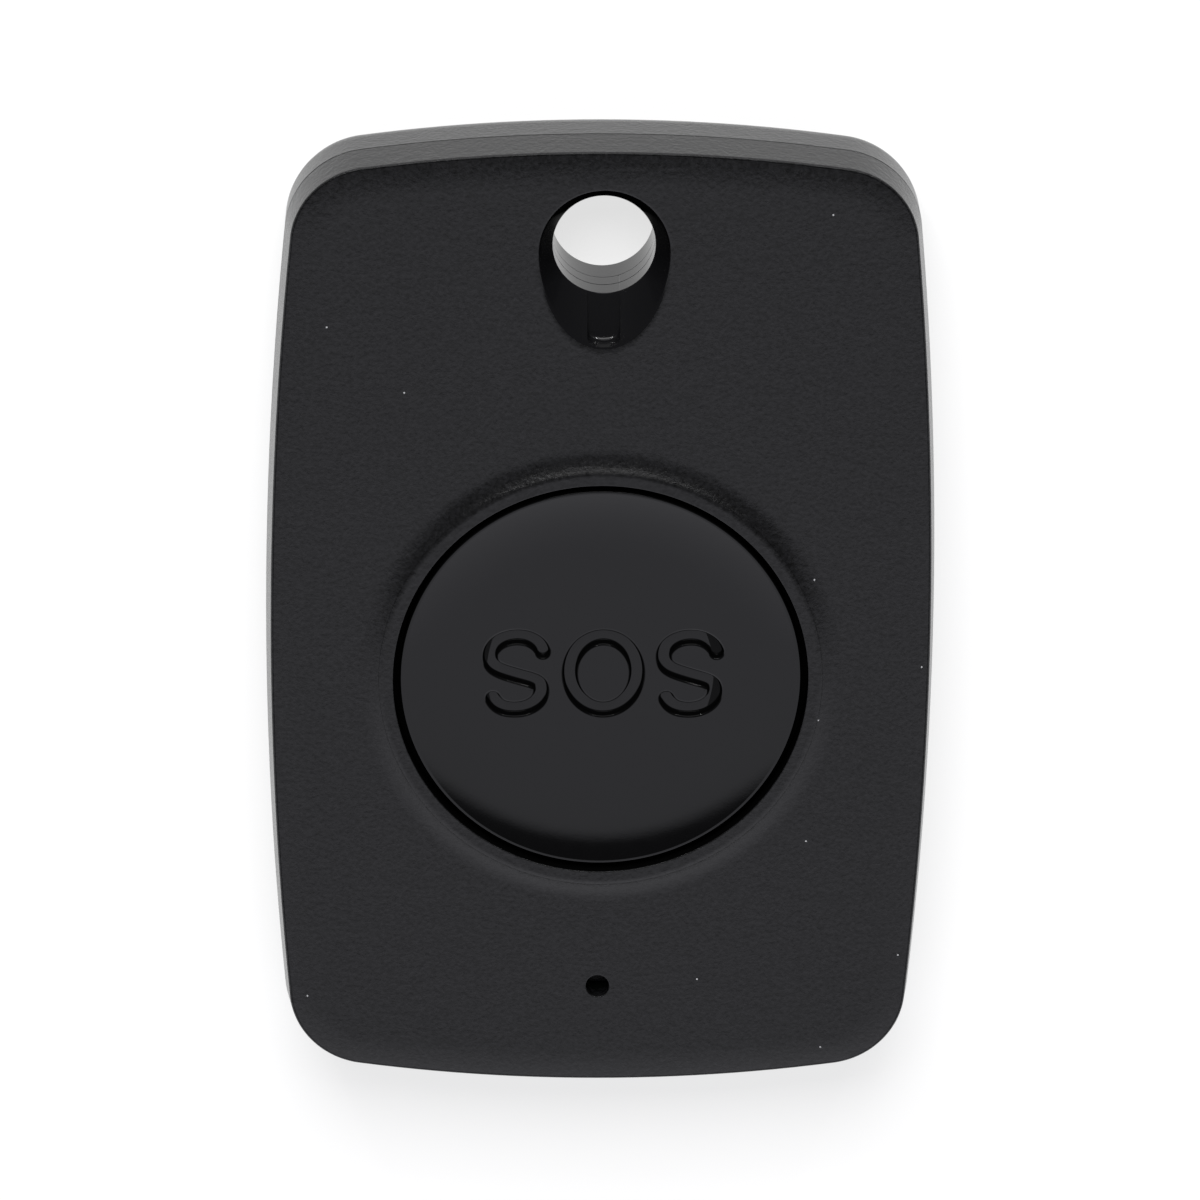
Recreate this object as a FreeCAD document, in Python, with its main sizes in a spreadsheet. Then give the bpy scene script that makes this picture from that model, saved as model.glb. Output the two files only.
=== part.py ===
import FreeCAD, Part
import math
import os

import Sketcher
from FreeCAD import Placement, Rotation, Vector

# Wireless panic button, a key-fob case with one large round button.
# It lies on its back: +Z comes out of the front face, +Y points to the keyring end and
# +X to the right as the front is read. The origin is the middle of the back face.
# All sizes are in millimetres, angles in degrees.

DRIVING_SIZES = [
    # Case outline, measured at the parting line
    ("case_width", 40.0, "overall width"),
    ("case_length", 60.0, "overall length"),
    ("side_bow", 257.5, "radius of the slightly bowed long sides"),
    ("end_bow", 103.5, "radius of the bowed ends"),
    ("corner_round", 5.2, "radius of the four corners"),
    ("rear_depth", 5.2, "height of the parting line above the back"),
    ("front_depth", 2.8, "height of the front face above the parting line"),
    ("wall", 1.2, "wall of both shells"),
    ("rear_draft", 1.0, "draft of the rear shell's side"),
    ("front_draft", 6.6, "draft of the front shell's side"),
    ("back_round", 3.0, "round of the back edge"),
    ("edge_run", 0.12, "width of the broken front edge"),
    ("edge_drop", 0.12, "fall of the broken front edge"),
    ("crown_run", 1.4, "width of the sloped band along the front edge"),
    ("crown_drop", 0.2, "fall of that band"),
    # Joint between the shells
    ("tongue_wall", 0.55, "thickness of the rear shell's tongue"),
    ("tongue_rise", 0.8, "height of the tongue above the parting line"),
    ("joint_gap", 0.05, "play between tongue and groove"),
    ("nose_length", 5.0, "length of a snap nose"),
    ("nose_reach", 0.22, "how far a snap nose stands out"),
    ("nose_height", 0.3, "height of a snap nose"),
    ("nose_lift", 0.3, "snap nose above the parting line"),
    ("nose_spacing", 26.0, "distance between the two noses of a side"),
    ("pry_width", 2.8, "width of the opening notch"),
    ("pry_height", 0.7, "height of the opening notch"),
    ("pry_depth", 0.8, "depth of the opening notch"),
    ("pry_offset", 23.0, "opening notch below the middle"),
    # Keyring bore with its scoops and the cord slot
    ("bore_offset", 23.5, "keyring bore above the middle"),
    ("bore_radius", 3.05, "keyring bore through both shells"),
    ("bore_split", 3.7, "height where the two bore tubes meet"),
    ("bore_wall", 1.0, "wall round the bore and the scoops"),
    ("scoop_depth", 1.6, "depth of the scoop at the bore"),
    ("scoop_width", 7.8, "width of the scoop"),
    ("scoop_reach", 6.05, "scoop from the bore's centre towards the button"),
    ("slot_width", 1.95, "width of the cord slot"),
    ("slot_reach", 5.9, "cord slot from the bore's centre"),
    ("block_overlap", 0.15, "how far the bore block runs into the end wall"),
    # Button, its opening and the raised collar
    ("button_offset", 3.4, "button below the middle"),
    ("button_radius", 11.93, "button cap"),
    ("opening_radius", 12.41, "opening in the front shell"),
    ("collar_rise", 0.53, "collar above the front face"),
    ("collar_land", 0.54, "flat top of the collar"),
    ("collar_foot", 14.55, "radius where the collar meets the face"),
    ("crest_round", 0.55, "radius of the collar's shoulder"),
    ("button_sink", 0.3, "button's rim below the collar"),
    ("dish_depth", 0.6, "depth of the button's dished face"),
    ("dish_run", 2.8, "width of the rising edge of the dish"),
    ("rim_width", 0.17, "flat rim of the button"),
    ("cap_plate", 0.9, "thickness of the cap"),
    ("skirt_inner", 10.9, "inner radius of the cap's skirt"),
    ("flange_radius", 13.2, "flange that keeps the cap in the case"),
    ("flange_thick", 0.5, "thickness of the flange"),
    ("flange_gap", 0.05, "flange below the front wall at rest"),
    ("nib_radius", 0.9, "nib that meets the switch"),
    ("nib_gap", 0.02, "nib above the plunger at rest"),
    ("guide_gap", 0.2, "play round the flange"),
    ("guide_wall", 0.8, "thickness of the ring that guides the flange"),
    ("guide_drop", 1.0, "height of that ring"),
    ("guide_window", 9.4, "width of the four windows in that ring"),
    ("led_hole_radius", 0.7, "hole over the status light"),
    ("led_offset", 23.5, "status light below the middle"),
    # Battery
    ("cell_radius", 10.0, "standard coin cell, 20 mm across"),
    ("cell_thick", 3.2, "standard coin cell, 3.2 mm thick"),
    ("cell_face_radius", 8.9, "negative face of the cell"),
    ("cell_face_rise", 0.25, "negative face above the crimped edge"),
    ("cell_gap", 0.2, "play of the cell in its ring"),
    ("ring_wall", 0.8, "thickness of the ring round the cell"),
    ("ring_rise", 2.0, "height of that ring above the floor"),
    ("clip_thick", 0.25, "spring steel strip"),
    ("clip_width", 5.0, "width of the strip"),
    ("clip_gap", 0.05, "strip beside the cell"),
    ("clip_foot", 1.3, "soldered foot of the strip"),
    ("clip_clearance", 0.4, "room for the strip in the ring"),
    ("contact_side", 5.2, "negative contact"),
    ("contact_thick", 0.2, "thickness of the negative contact"),
    # Circuit board and its supports
    ("board_thick", 0.8, "circuit board"),
    ("board_gap", 0.4, "board to the case wall"),
    ("board_notch_gap", 0.4, "board to the bore block"),
    ("post_side", 2.4, "square posts that carry and clamp the board"),
    ("pin_radius", 0.6, "locating pins on two of the posts"),
    ("pin_gap", 0.1, "play of a pin in the board"),
    ("post_across", 15.0, "posts from the centre line"),
    ("post_low", 20.0, "lower posts below the middle"),
    ("post_high", 12.5, "upper posts above the middle"),
    # Switch under the button
    ("switch_side", 4.0, "side of the switch"),
    ("switch_rise", 0.45, "height of the switch's base"),
    ("switch_floor", 0.04, "bottom of the switch's well"),
    ("switch_well", 1.4, "radius of the switch's well"),
    ("cover_thick", 0.08, "steel cover of the switch"),
    ("cover_hole", 0.95, "hole in the cover"),
    ("plunger_radius", 0.8, "plunger above the cover"),
    ("plunger_foot", 1.2, "plunger's foot inside the well"),
    ("plunger_foot_thick", 0.1, "thickness of that foot"),
    ("plunger_rise", 0.22, "plunger above the cover"),
    ("terminal_length", 0.7, "switch terminals, outside the base"),
    ("terminal_width", 0.5, "width of a terminal"),
    ("terminal_thick", 0.15, "thickness of a terminal"),
    ("pad_inner", 3.4, "inner radius of the soft return ring"),
    ("pad_outer", 5.2, "outer radius of the soft return ring"),
    ("pad_gap", 0.05, "return ring below the cap"),
    # Antenna and the parts soldered to the board
    ("strip_width", 0.7, "antenna strip"),
    ("strip_thick", 0.5, "thickness of the antenna strip"),
    ("strip_near", 8.0, "inner leg of the antenna from the centre line"),
    ("strip_far", 14.0, "outer leg of the antenna from the centre line"),
    ("strip_start", 15.5, "feet of the antenna above the middle"),
    ("strip_end", 21.5, "start of the antenna's bend above the middle"),
    ("chip_row", 13.2, "row of chips above the middle"),
    ("radio_side", 4.0, "radio chip"),
    ("radio_thick", 0.9, "thickness of the radio chip"),
    ("radio_across", 5.6, "radio chip left of the centre line"),
    ("controller_length", 5.0, "microcontroller"),
    ("controller_width", 4.4, "width of the microcontroller"),
    ("controller_thick", 1.0, "thickness of the microcontroller"),
    ("controller_across", 0.6, "microcontroller right of the centre line"),
    ("crystal_length", 3.2, "quartz crystal"),
    ("crystal_width", 2.5, "width of the crystal"),
    ("crystal_thick", 0.7, "thickness of the crystal"),
    ("crystal_across", 10.4, "crystal left of the centre line"),
    ("passive_length", 1.6, "small soldered parts"),
    ("passive_width", 0.8, "width of the small soldered parts"),
    ("capacitor_thick", 0.8, "capacitors"),
    ("resistor_thick", 0.45, "resistors"),
    ("inductor_thick", 0.6, "inductors"),
    ("led_length", 1.6, "status light"),
    ("led_width", 0.8, "width of the status light"),
    ("led_thick", 0.6, "thickness of the status light"),
]

DOC = FreeCAD.newDocument("panic_button")
SHEET = DOC.addObject("Spreadsheet::Sheet", "Sizes")


class Size:
    """A length that remembers the sheet formula it comes from."""

    def __init__(self, value, formula):
        self.value = float(value)
        self.formula = formula

    def __add__(self, other):
        other = as_size(other)
        return Size(self.value + other.value, f"({self.formula} + {other.formula})")

    def __sub__(self, other):
        other = as_size(other)
        return Size(self.value - other.value, f"({self.formula} - {other.formula})")

    def __rsub__(self, other):
        return as_size(other) - self

    def __mul__(self, other):
        other = as_size(other)
        return Size(self.value * other.value, f"({self.formula} * {other.formula})")

    def __truediv__(self, other):
        other = as_size(other)
        return Size(self.value / other.value, f"({self.formula} / {other.formula})")

    def __neg__(self):
        return Size(-self.value, f"(0 - {self.formula})")

    __radd__ = __add__
    __rmul__ = __mul__


def as_size(number):
    if isinstance(number, Size):
        return number
    return Size(number, repr(float(number)))


def square_root(size):
    return Size(math.sqrt(size.value), f"sqrt({size.formula})")


def tangent(angle):
    return Size(math.tan(math.radians(angle.value)), f"tan({angle.formula})")


def half_turn(sine):
    """From an angle's sine: the sine of half the angle, and one less that half's cosine."""
    cosine = square_root(1 - sine * sine)
    return square_root((1 - cosine) / 2), 1 - square_root((1 + cosine) / 2)


def draft_of(run, rise):
    """The draft, in degrees, of a face that moves in by run while it climbs by rise."""
    angle = math.degrees(math.atan2(run.value, rise.value))
    return Size(angle, f"atan({run.formula} / {rise.formula})")


class Sizes:
    """The sheet's driving sizes, each as an attribute."""


def fill_sheet():
    """One row for each driving size: its name, its value and what it is."""
    sizes = Sizes()
    for row, (name, value, meaning) in enumerate(DRIVING_SIZES, start=1):
        SHEET.set(f"A{row}", name)
        SHEET.set(f"B{row}", str(value))
        SHEET.set(f"C{row}", meaning)
        SHEET.setAlias(f"B{row}", name)
        setattr(sizes, name, Size(value, f"Sizes.{name}"))
    DOC.recompute()
    return sizes


S = fill_sheet()
ZERO = as_size(0)

# Heights and places that follow from the driving sizes
CASE_TOP = S.rear_depth + S.front_depth
CEILING = CASE_TOP - S.wall
GROOVE = S.wall - S.tongue_wall - S.joint_gap
BORE_RIM = CASE_TOP - S.scoop_depth
BLOCK_LOW = BORE_RIM - S.bore_wall
BLOCK_END = S.case_length / 2 - S.wall + S.block_overlap
SCOOP_HALF = S.scoop_width / 2
BOARD_LOW = S.wall + S.clip_thick + S.cell_thick + S.contact_thick
BOARD_TOP = BOARD_LOW + S.board_thick
CAP_LOW = CEILING - S.flange_gap - S.flange_thick
CAP_RIM = CASE_TOP + S.collar_rise - S.button_sink
CAP_UNDER = CAP_RIM - S.dish_depth - S.cap_plate
COVER_LOW = BOARD_TOP + S.switch_rise
PLUNGER_TOP = COVER_LOW + S.cover_thick + S.plunger_rise
GUIDE_RADIUS = S.flange_radius + S.guide_gap
POSTS = [
    (S.post_across, S.post_high),
    (-S.post_across, S.post_high),
    (S.post_across, -S.post_low),
    (-S.post_across, -S.post_low),
]
PINNED_POSTS = [POSTS[0], POSTS[3]]
# Corners of a round that is built as three flats: its share inwards and down at each
ROUND_CORNERS = [
    (1 - math.cos(turn), math.sin(turn)) for turn in (0, math.pi / 6, math.pi / 3, math.pi / 2)
]
FLAT_SHARE = 2 - math.sqrt(2)
TINY = 1e-4
SUBPARTS = []


def bind(item, path, size):
    """Ties one property of an object to the sheet."""
    item.setExpression(path, size.formula)


def new_body(label, x=ZERO, y=ZERO, z=ZERO):
    """A body that is drawn about its own origin and stands at x, y, z."""
    body = DOC.addObject("PartDesign::Body", label)
    body.Label = label
    body.Placement = Placement(Vector(x.value, y.value, z.value), Rotation())
    for axis, size in zip("xyz", (x, y, z)):
        if size is not ZERO:
            bind(body, f"Placement.Base.{axis}", size)
    SUBPARTS.append(body)
    return body


def new_sketch(body, name, plane="XY_Plane", offset=ZERO):
    """A sketch on one of the body's own planes, lifted along that plane's normal."""
    sketch = body.newObject("Sketcher::SketchObject", name)
    support = [item for item in body.Origin.OriginFeatures if item.Role == plane][0]
    sketch.AttachmentSupport = [(support, "")]
    sketch.MapMode = "FlatFace"
    if offset is not ZERO:
        sketch.AttachmentOffset = Placement(Vector(0, 0, offset.value), Rotation())
        bind(sketch, "AttachmentOffset.Base.z", offset)
    return sketch


def tie(sketch, kind, size, *where):
    """A dimension in a sketch that follows the sheet."""
    index = sketch.addConstraint(Sketcher.Constraint(kind, *where, size.value))
    sketch.setExpression(f"Constraints[{index}]", size.formula)


def pin_point(sketch, geometry, vertex, x, y):
    """Holds a point at x, y from the sketch's origin."""
    for size, kind, axis in ((x, "DistanceX", -2), (y, "DistanceY", -1)):
        if abs(size.value) < TINY:
            sketch.addConstraint(Sketcher.Constraint("PointOnObject", geometry, vertex, axis))
        else:
            tie(sketch, kind, size, geometry, vertex)


def draw_circle(sketch, x, y, radius):
    centre = Vector(x.value, y.value, 0)
    circle = sketch.addGeometry(Part.Circle(centre, Vector(0, 0, 1), radius.value))
    tie(sketch, "Radius", radius, circle)
    pin_point(sketch, circle, 3, x, y)


def arc_between(start, end, radius, turn):
    """The arc from start to end, the short way, turning left (1) or right (-1)."""
    chord = end - start
    side = Vector(-chord.y, chord.x, 0).normalize()
    rise = math.sqrt(max(radius**2 - (chord.Length / 2) ** 2, 0))
    centre = (start + end) / 2 + side * rise * turn
    first, last = (start, end) if turn > 0 else (end, start)
    angles = [math.atan2(p.y - centre.y, p.x - centre.x) for p in (first, last)]
    circle = Part.Circle(centre, Vector(0, 0, 1), radius)
    return Part.ArcOfCircle(circle, *angles)


def draw_path(sketch, points, arcs=None):
    """A closed path through the points. arcs says which runs are round: it maps the number
    of a run to its radius and its turn, 1 for left and -1 for right."""
    arcs = arcs or {}
    places = [Vector(x.value, y.value, 0) for x, y in points]
    runs = []
    for number, start in enumerate(places):
        end = places[(number + 1) % len(places)]
        if number in arcs:
            radius, turn = arcs[number]
            run = sketch.addGeometry(arc_between(start, end, radius.value, turn))
            tie(sketch, "Radius", radius, run)
            runs.append((run, 1, 2) if turn > 0 else (run, 2, 1))
        else:
            runs.append((sketch.addGeometry(Part.LineSegment(start, end)), 1, 2))
    for (before, _, its_end), (after, its_start, _) in zip(runs, runs[1:] + runs[:1]):
        sketch.addConstraint(Sketcher.Constraint("Coincident", before, its_end, after, its_start))
    for (run, its_start, _), (x, y) in zip(runs, points):
        pin_point(sketch, run, its_start, x, y)


def draw_rectangle(sketch, low_x, low_y, high_x, high_y):
    draw_path(sketch, [(low_x, low_y), (high_x, low_y), (high_x, high_y), (low_x, high_y)])


def draw_posts(sketch):
    half = S.post_side / 2
    for x, y in POSTS:
        draw_rectangle(sketch, x - half, y - half, x + half, y + half)


def corner_centre(side_x, end_y, side_radius, end_radius):
    """Where the corner's centre lies: the circle about the side's centre meets the circle
    about the end's centre, in the quarter where x and y are positive."""
    side, end = Vector(side_x, 0, 0), Vector(0, end_y, 0)
    span = (end - side).Length
    along = (side_radius**2 - end_radius**2 + span**2) / (2 * span)
    across = math.sqrt(side_radius**2 - along**2)
    direction = (end - side) / span
    middle = side + direction * along
    return middle + Vector(-direction.y, direction.x, 0) * across


def draw_case_outline(sketch, inset):
    """The case's outline, moved inwards by inset: two bowed sides, two bowed ends and four
    round corners, all tangent. Its arcs keep their centres whatever the inset is."""
    side_x = S.case_width / 2 - S.side_bow
    end_y = S.case_length / 2 - S.end_bow
    side_radius, end_radius = S.side_bow - inset, S.end_bow - inset
    corner_radius = S.corner_round - inset
    corner = corner_centre(
        side_x.value,
        end_y.value,
        (S.side_bow - S.corner_round).value,
        (S.end_bow - S.corner_round).value,
    )
    side_turn = math.atan2(corner.y, corner.x - side_x.value)
    end_turn = math.atan2(corner.y - end_y.value, corner.x)
    quarter = math.pi / 2
    arcs = []
    for step in range(4):
        turned = Rotation(Vector(0, 0, 1), 90 * step)
        on_side = step % 2 == 0
        sign = 1 if step < 2 else -1
        if on_side:
            centre = Vector(side_x.value * sign, 0, 0)
            radius, half = side_radius, side_turn
            next_start = end_turn
        else:
            centre = Vector(0, end_y.value * sign, 0)
            radius, half = end_radius, quarter - end_turn
            next_start = quarter - side_turn
        middle = quarter * step
        bow = Part.Circle(centre, Vector(0, 0, 1), radius.value)
        arcs.append(sketch.addGeometry(Part.ArcOfCircle(bow, middle - half, middle + half)))
        corner_place = corner if on_side else Vector(corner.y, corner.x, 0)
        round_circle = Part.Circle(
            turned.multVec(corner_place), Vector(0, 0, 1), corner_radius.value
        )
        arcs.append(
            sketch.addGeometry(
                Part.ArcOfCircle(round_circle, middle + half, middle + next_start)
            )
        )
    for before, after in zip(arcs, arcs[1:] + arcs[:1]):
        sketch.addConstraint(Sketcher.Constraint("Tangent", before, 2, after, 1))
    for bow, x, y, radius in (
        (arcs[0], side_x, ZERO, side_radius),
        (arcs[2], ZERO, end_y, end_radius),
        (arcs[4], -side_x, ZERO, side_radius),
        (arcs[6], ZERO, -end_y, end_radius),
    ):
        pin_point(sketch, bow, 3, x, y)
        tie(sketch, "Radius", radius, bow)
    for round_arc in arcs[1::2]:
        tie(sketch, "Radius", corner_radius, round_arc)


def draw_half_oval(sketch, half, reach):
    """The lower half of an ellipse about the bore, which reaches towards the button. Gives
    back the arc with the numbers of its left and its right end."""
    centre = Vector(0, S.bore_offset.value, 0)
    tip = centre - Vector(0, reach.value, 0)
    oval = Part.Ellipse(tip, centre + Vector(half.value, 0, 0), centre)
    arc = sketch.addGeometry(Part.ArcOfEllipse(oval, -math.pi / 2, math.pi / 2))
    axis = sketch.GeometryCount
    sketch.exposeInternalGeometry(arc)
    pin_point(sketch, arc, 3, ZERO, S.bore_offset)
    far_end = 1 if (sketch.getPoint(axis, 1) - tip).Length < TINY else 2
    pin_point(sketch, axis, far_end, ZERO, S.bore_offset - reach)
    left, right = (1, 2) if sketch.getPoint(arc, 1).x < 0 else (2, 1)
    pin_point(sketch, arc, left, -half, S.bore_offset)
    tie(sketch, "DistanceY", S.bore_offset, arc, right)
    return arc, left, right


def draw_drop(sketch):
    """The scoop's outline: half a circle round the bore above half an oval."""
    centre = Vector(0, S.bore_offset.value, 0)
    upper = Part.Circle(centre, Vector(0, 0, 1), SCOOP_HALF.value)
    top = sketch.addGeometry(Part.ArcOfCircle(upper, 0, math.pi))
    bottom, left, right = draw_half_oval(sketch, SCOOP_HALF, S.scoop_reach)
    sketch.addConstraint(Sketcher.Constraint("Coincident", top, 1, bottom, right))
    sketch.addConstraint(Sketcher.Constraint("Coincident", top, 2, bottom, left))
    tie(sketch, "DistanceY", S.bore_offset, top, 3)


def draw_split_circle(sketch):
    """The bore's circle in an upper and a lower half, to match the scoop's outline."""
    centre = Vector(0, S.bore_offset.value, 0)
    circle = Part.Circle(centre, Vector(0, 0, 1), S.bore_radius.value)
    top = sketch.addGeometry(Part.ArcOfCircle(circle, 0, math.pi))
    bottom = sketch.addGeometry(Part.ArcOfCircle(circle, math.pi, 2 * math.pi))
    pin_point(sketch, top, 3, ZERO, S.bore_offset)
    tie(sketch, "Radius", S.bore_radius, top)
    sketch.addConstraint(Sketcher.Constraint("Coincident", top, 2, bottom, 1))
    sketch.addConstraint(Sketcher.Constraint("Coincident", top, 1, bottom, 2))
    sketch.addConstraint(Sketcher.Constraint("Coincident", top, 3, bottom, 3))
    tie(sketch, "DistanceY", S.bore_offset, top, 1)


def side_reach(inset, height):
    """How far the side's bow, moved inwards by inset, stands from the centre line at a
    height along the case."""
    radius = S.side_bow - inset
    return S.case_width / 2 - S.side_bow + square_root(radius * radius - height * height)


def draw_side_strip(sketch, outer_inset, inner_inset, low, high, side):
    """A strip that follows the bowed side (1 right, -1 left) between two insets."""
    places = [
        (side_reach(outer_inset, low) * side, low),
        (side_reach(outer_inset, high) * side, high),
        (side_reach(inner_inset, high) * side, high),
        (side_reach(inner_inset, low) * side, low),
    ]
    bows = {0: (S.side_bow - outer_inset, side), 2: (S.side_bow - inner_inset, -side)}
    draw_path(sketch, places, bows)


def draw_snap_strips(sketch, outer_inset, inner_inset, length):
    """Two strips on each long side, where the shells snap together."""
    for side in (1, -1):
        for end in (1, -1):
            middle = S.nose_spacing / 2 * end
            draw_side_strip(
                sketch, outer_inset, inner_inset, middle - length / 2, middle + length / 2, side
            )


def begin_feature(body, kind, name, sketch):
    """A feature on a sketch, with the body's volume before it."""
    before = body.Shape.Volume if body.Tip else 0.0
    feature = body.newObject(f"PartDesign::{kind}", name)
    feature.Profile = sketch
    return feature, before


def settle(body, feature, before, removes=False):
    """Rebuilds the model and stops if the feature failed or did nothing."""
    DOC.recompute()
    after = feature.Shape.Volume
    grew = after - before
    if not feature.isValid() or (grew > -TINY if removes else grew < TINY):
        raise RuntimeError(f"{body.Label}.{feature.Name}: {before:.4f} to {after:.4f}")
    return feature


def pad(body, name, sketch, length, down=False, draft=None):
    feature, before = begin_feature(body, "Pad", name, sketch)
    bind(feature, "Length", length)
    feature.Reversed = down
    if draft is not None:
        bind(feature, "TaperAngle", draft * -1)
    return settle(body, feature, before)


def pocket(body, name, sketch, depth, up=False):
    feature, before = begin_feature(body, "Pocket", name, sketch)
    bind(feature, "Length", depth)
    feature.Reversed = up
    return settle(body, feature, before, removes=True)


def turn_solid(body, name, sketch):
    """A solid of revolution about the sketch's upright axis."""
    feature, before = begin_feature(body, "Revolution", name, sketch)
    feature.ReferenceAxis = (sketch, ["V_Axis"])
    return settle(body, feature, before)


def cut_loft(body, name, first, last):
    feature, before = begin_feature(body, "SubtractiveLoft", name, first)
    feature.Sections = [last]
    return settle(body, feature, before, removes=True)


def edges_between(feature, low, high):
    """The names of the edges that lie wholly between two heights."""
    names = []
    for number, edge in enumerate(feature.Shape.Edges, start=1):
        if all(low < point.z < high for point in edge.discretize(5)):
            names.append(f"Edge{number}")
    return names


def dress(body, kind, name, base, edges, **sizes):
    """A fillet or a chamfer on some edges, its sizes bound to the sheet."""
    feature = body.newObject(f"PartDesign::{kind}", name)
    feature.Base = (base, edges)
    for path, size in sizes.items():
        bind(feature, path, size)
    DOC.recompute()
    if not feature.isValid() or feature.Shape.Volume < TINY:
        raise RuntimeError(f"{body.Label}.{name} failed")
    return feature


def collar_profile():
    """The raised collar: from the foot a hollow curve climbs into a tighter shoulder, which
    ends level on the land. Both are arcs that meet at one slope, so rise and run settle them,
    and each is drawn as two chords."""
    land = S.opening_radius + S.collar_land
    run = S.collar_foot - land
    slope_sine = run * S.collar_rise * 2 / (run * run + S.collar_rise * S.collar_rise)
    both_radii = run / slope_sine
    hollow = both_radii - S.crest_round
    share = S.crest_round / both_radii
    half_sine, half_fall = half_turn(slope_sine)
    top = CASE_TOP + S.collar_rise
    root = CASE_TOP - S.wall / 2
    inside = S.opening_radius - S.wall / 2
    points = [
        (inside, root),
        (S.collar_foot, root),
        (S.collar_foot, CASE_TOP),
        (S.collar_foot - hollow * half_sine, CASE_TOP + hollow * half_fall),
        (land + run * share, top - S.collar_rise * share),
        (land + S.crest_round * half_sine, top - S.crest_round * half_fall),
        (land, top),
        (inside, top),
    ]
    return points


def build_bore_block(body, low, high):
    """The block round a scoop: a half oval, straight sides and a root in the end wall."""
    sketch = new_sketch(body, "block_outline", offset=low)
    half = SCOOP_HALF + S.bore_wall
    corners = [
        (half, S.bore_offset),
        (half, BLOCK_END),
        (-half, BLOCK_END),
        (-half, S.bore_offset),
    ]
    places = [Vector(x.value, y.value, 0) for x, y in corners]
    lines = [
        sketch.addGeometry(Part.LineSegment(start, end))
        for start, end in zip(places, places[1:])
    ]
    for line, (x, y) in zip(lines[1:], corners[1:]):
        pin_point(sketch, line, 1, x, y)
    for before, after in zip(lines, lines[1:]):
        sketch.addConstraint(Sketcher.Constraint("Coincident", before, 2, after, 1))
    oval, left, right = draw_half_oval(sketch, half, S.scoop_reach + S.bore_wall)
    sketch.addConstraint(Sketcher.Constraint("Coincident", oval, right, lines[0], 1))
    sketch.addConstraint(Sketcher.Constraint("Coincident", oval, left, lines[-1], 2))
    pad(body, "bore_block", sketch, high - low)


def build_bore(body, face, rim):
    """The tube from the block to where the shells meet, the scoop and the bore itself."""
    outside_up = face.value > S.bore_split.value
    sketch = new_sketch(body, "tube_outline", offset=S.bore_split)
    draw_circle(sketch, ZERO, S.bore_offset, S.bore_radius + S.bore_wall)
    tube = rim - S.bore_split if outside_up else S.bore_split - rim
    pad(body, "bore_tube", sketch, tube, down=not outside_up)
    mouth = new_sketch(body, "scoop_mouth", offset=face)
    draw_drop(mouth)
    floor = new_sketch(body, "scoop_floor", offset=rim)
    draw_split_circle(floor)
    cut_loft(body, "scoop", mouth, floor)
    sketch = new_sketch(body, "bore_outline", offset=rim)
    draw_circle(sketch, ZERO, S.bore_offset, S.bore_radius)
    pocket(body, "bore", sketch, tube, up=not outside_up)


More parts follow.
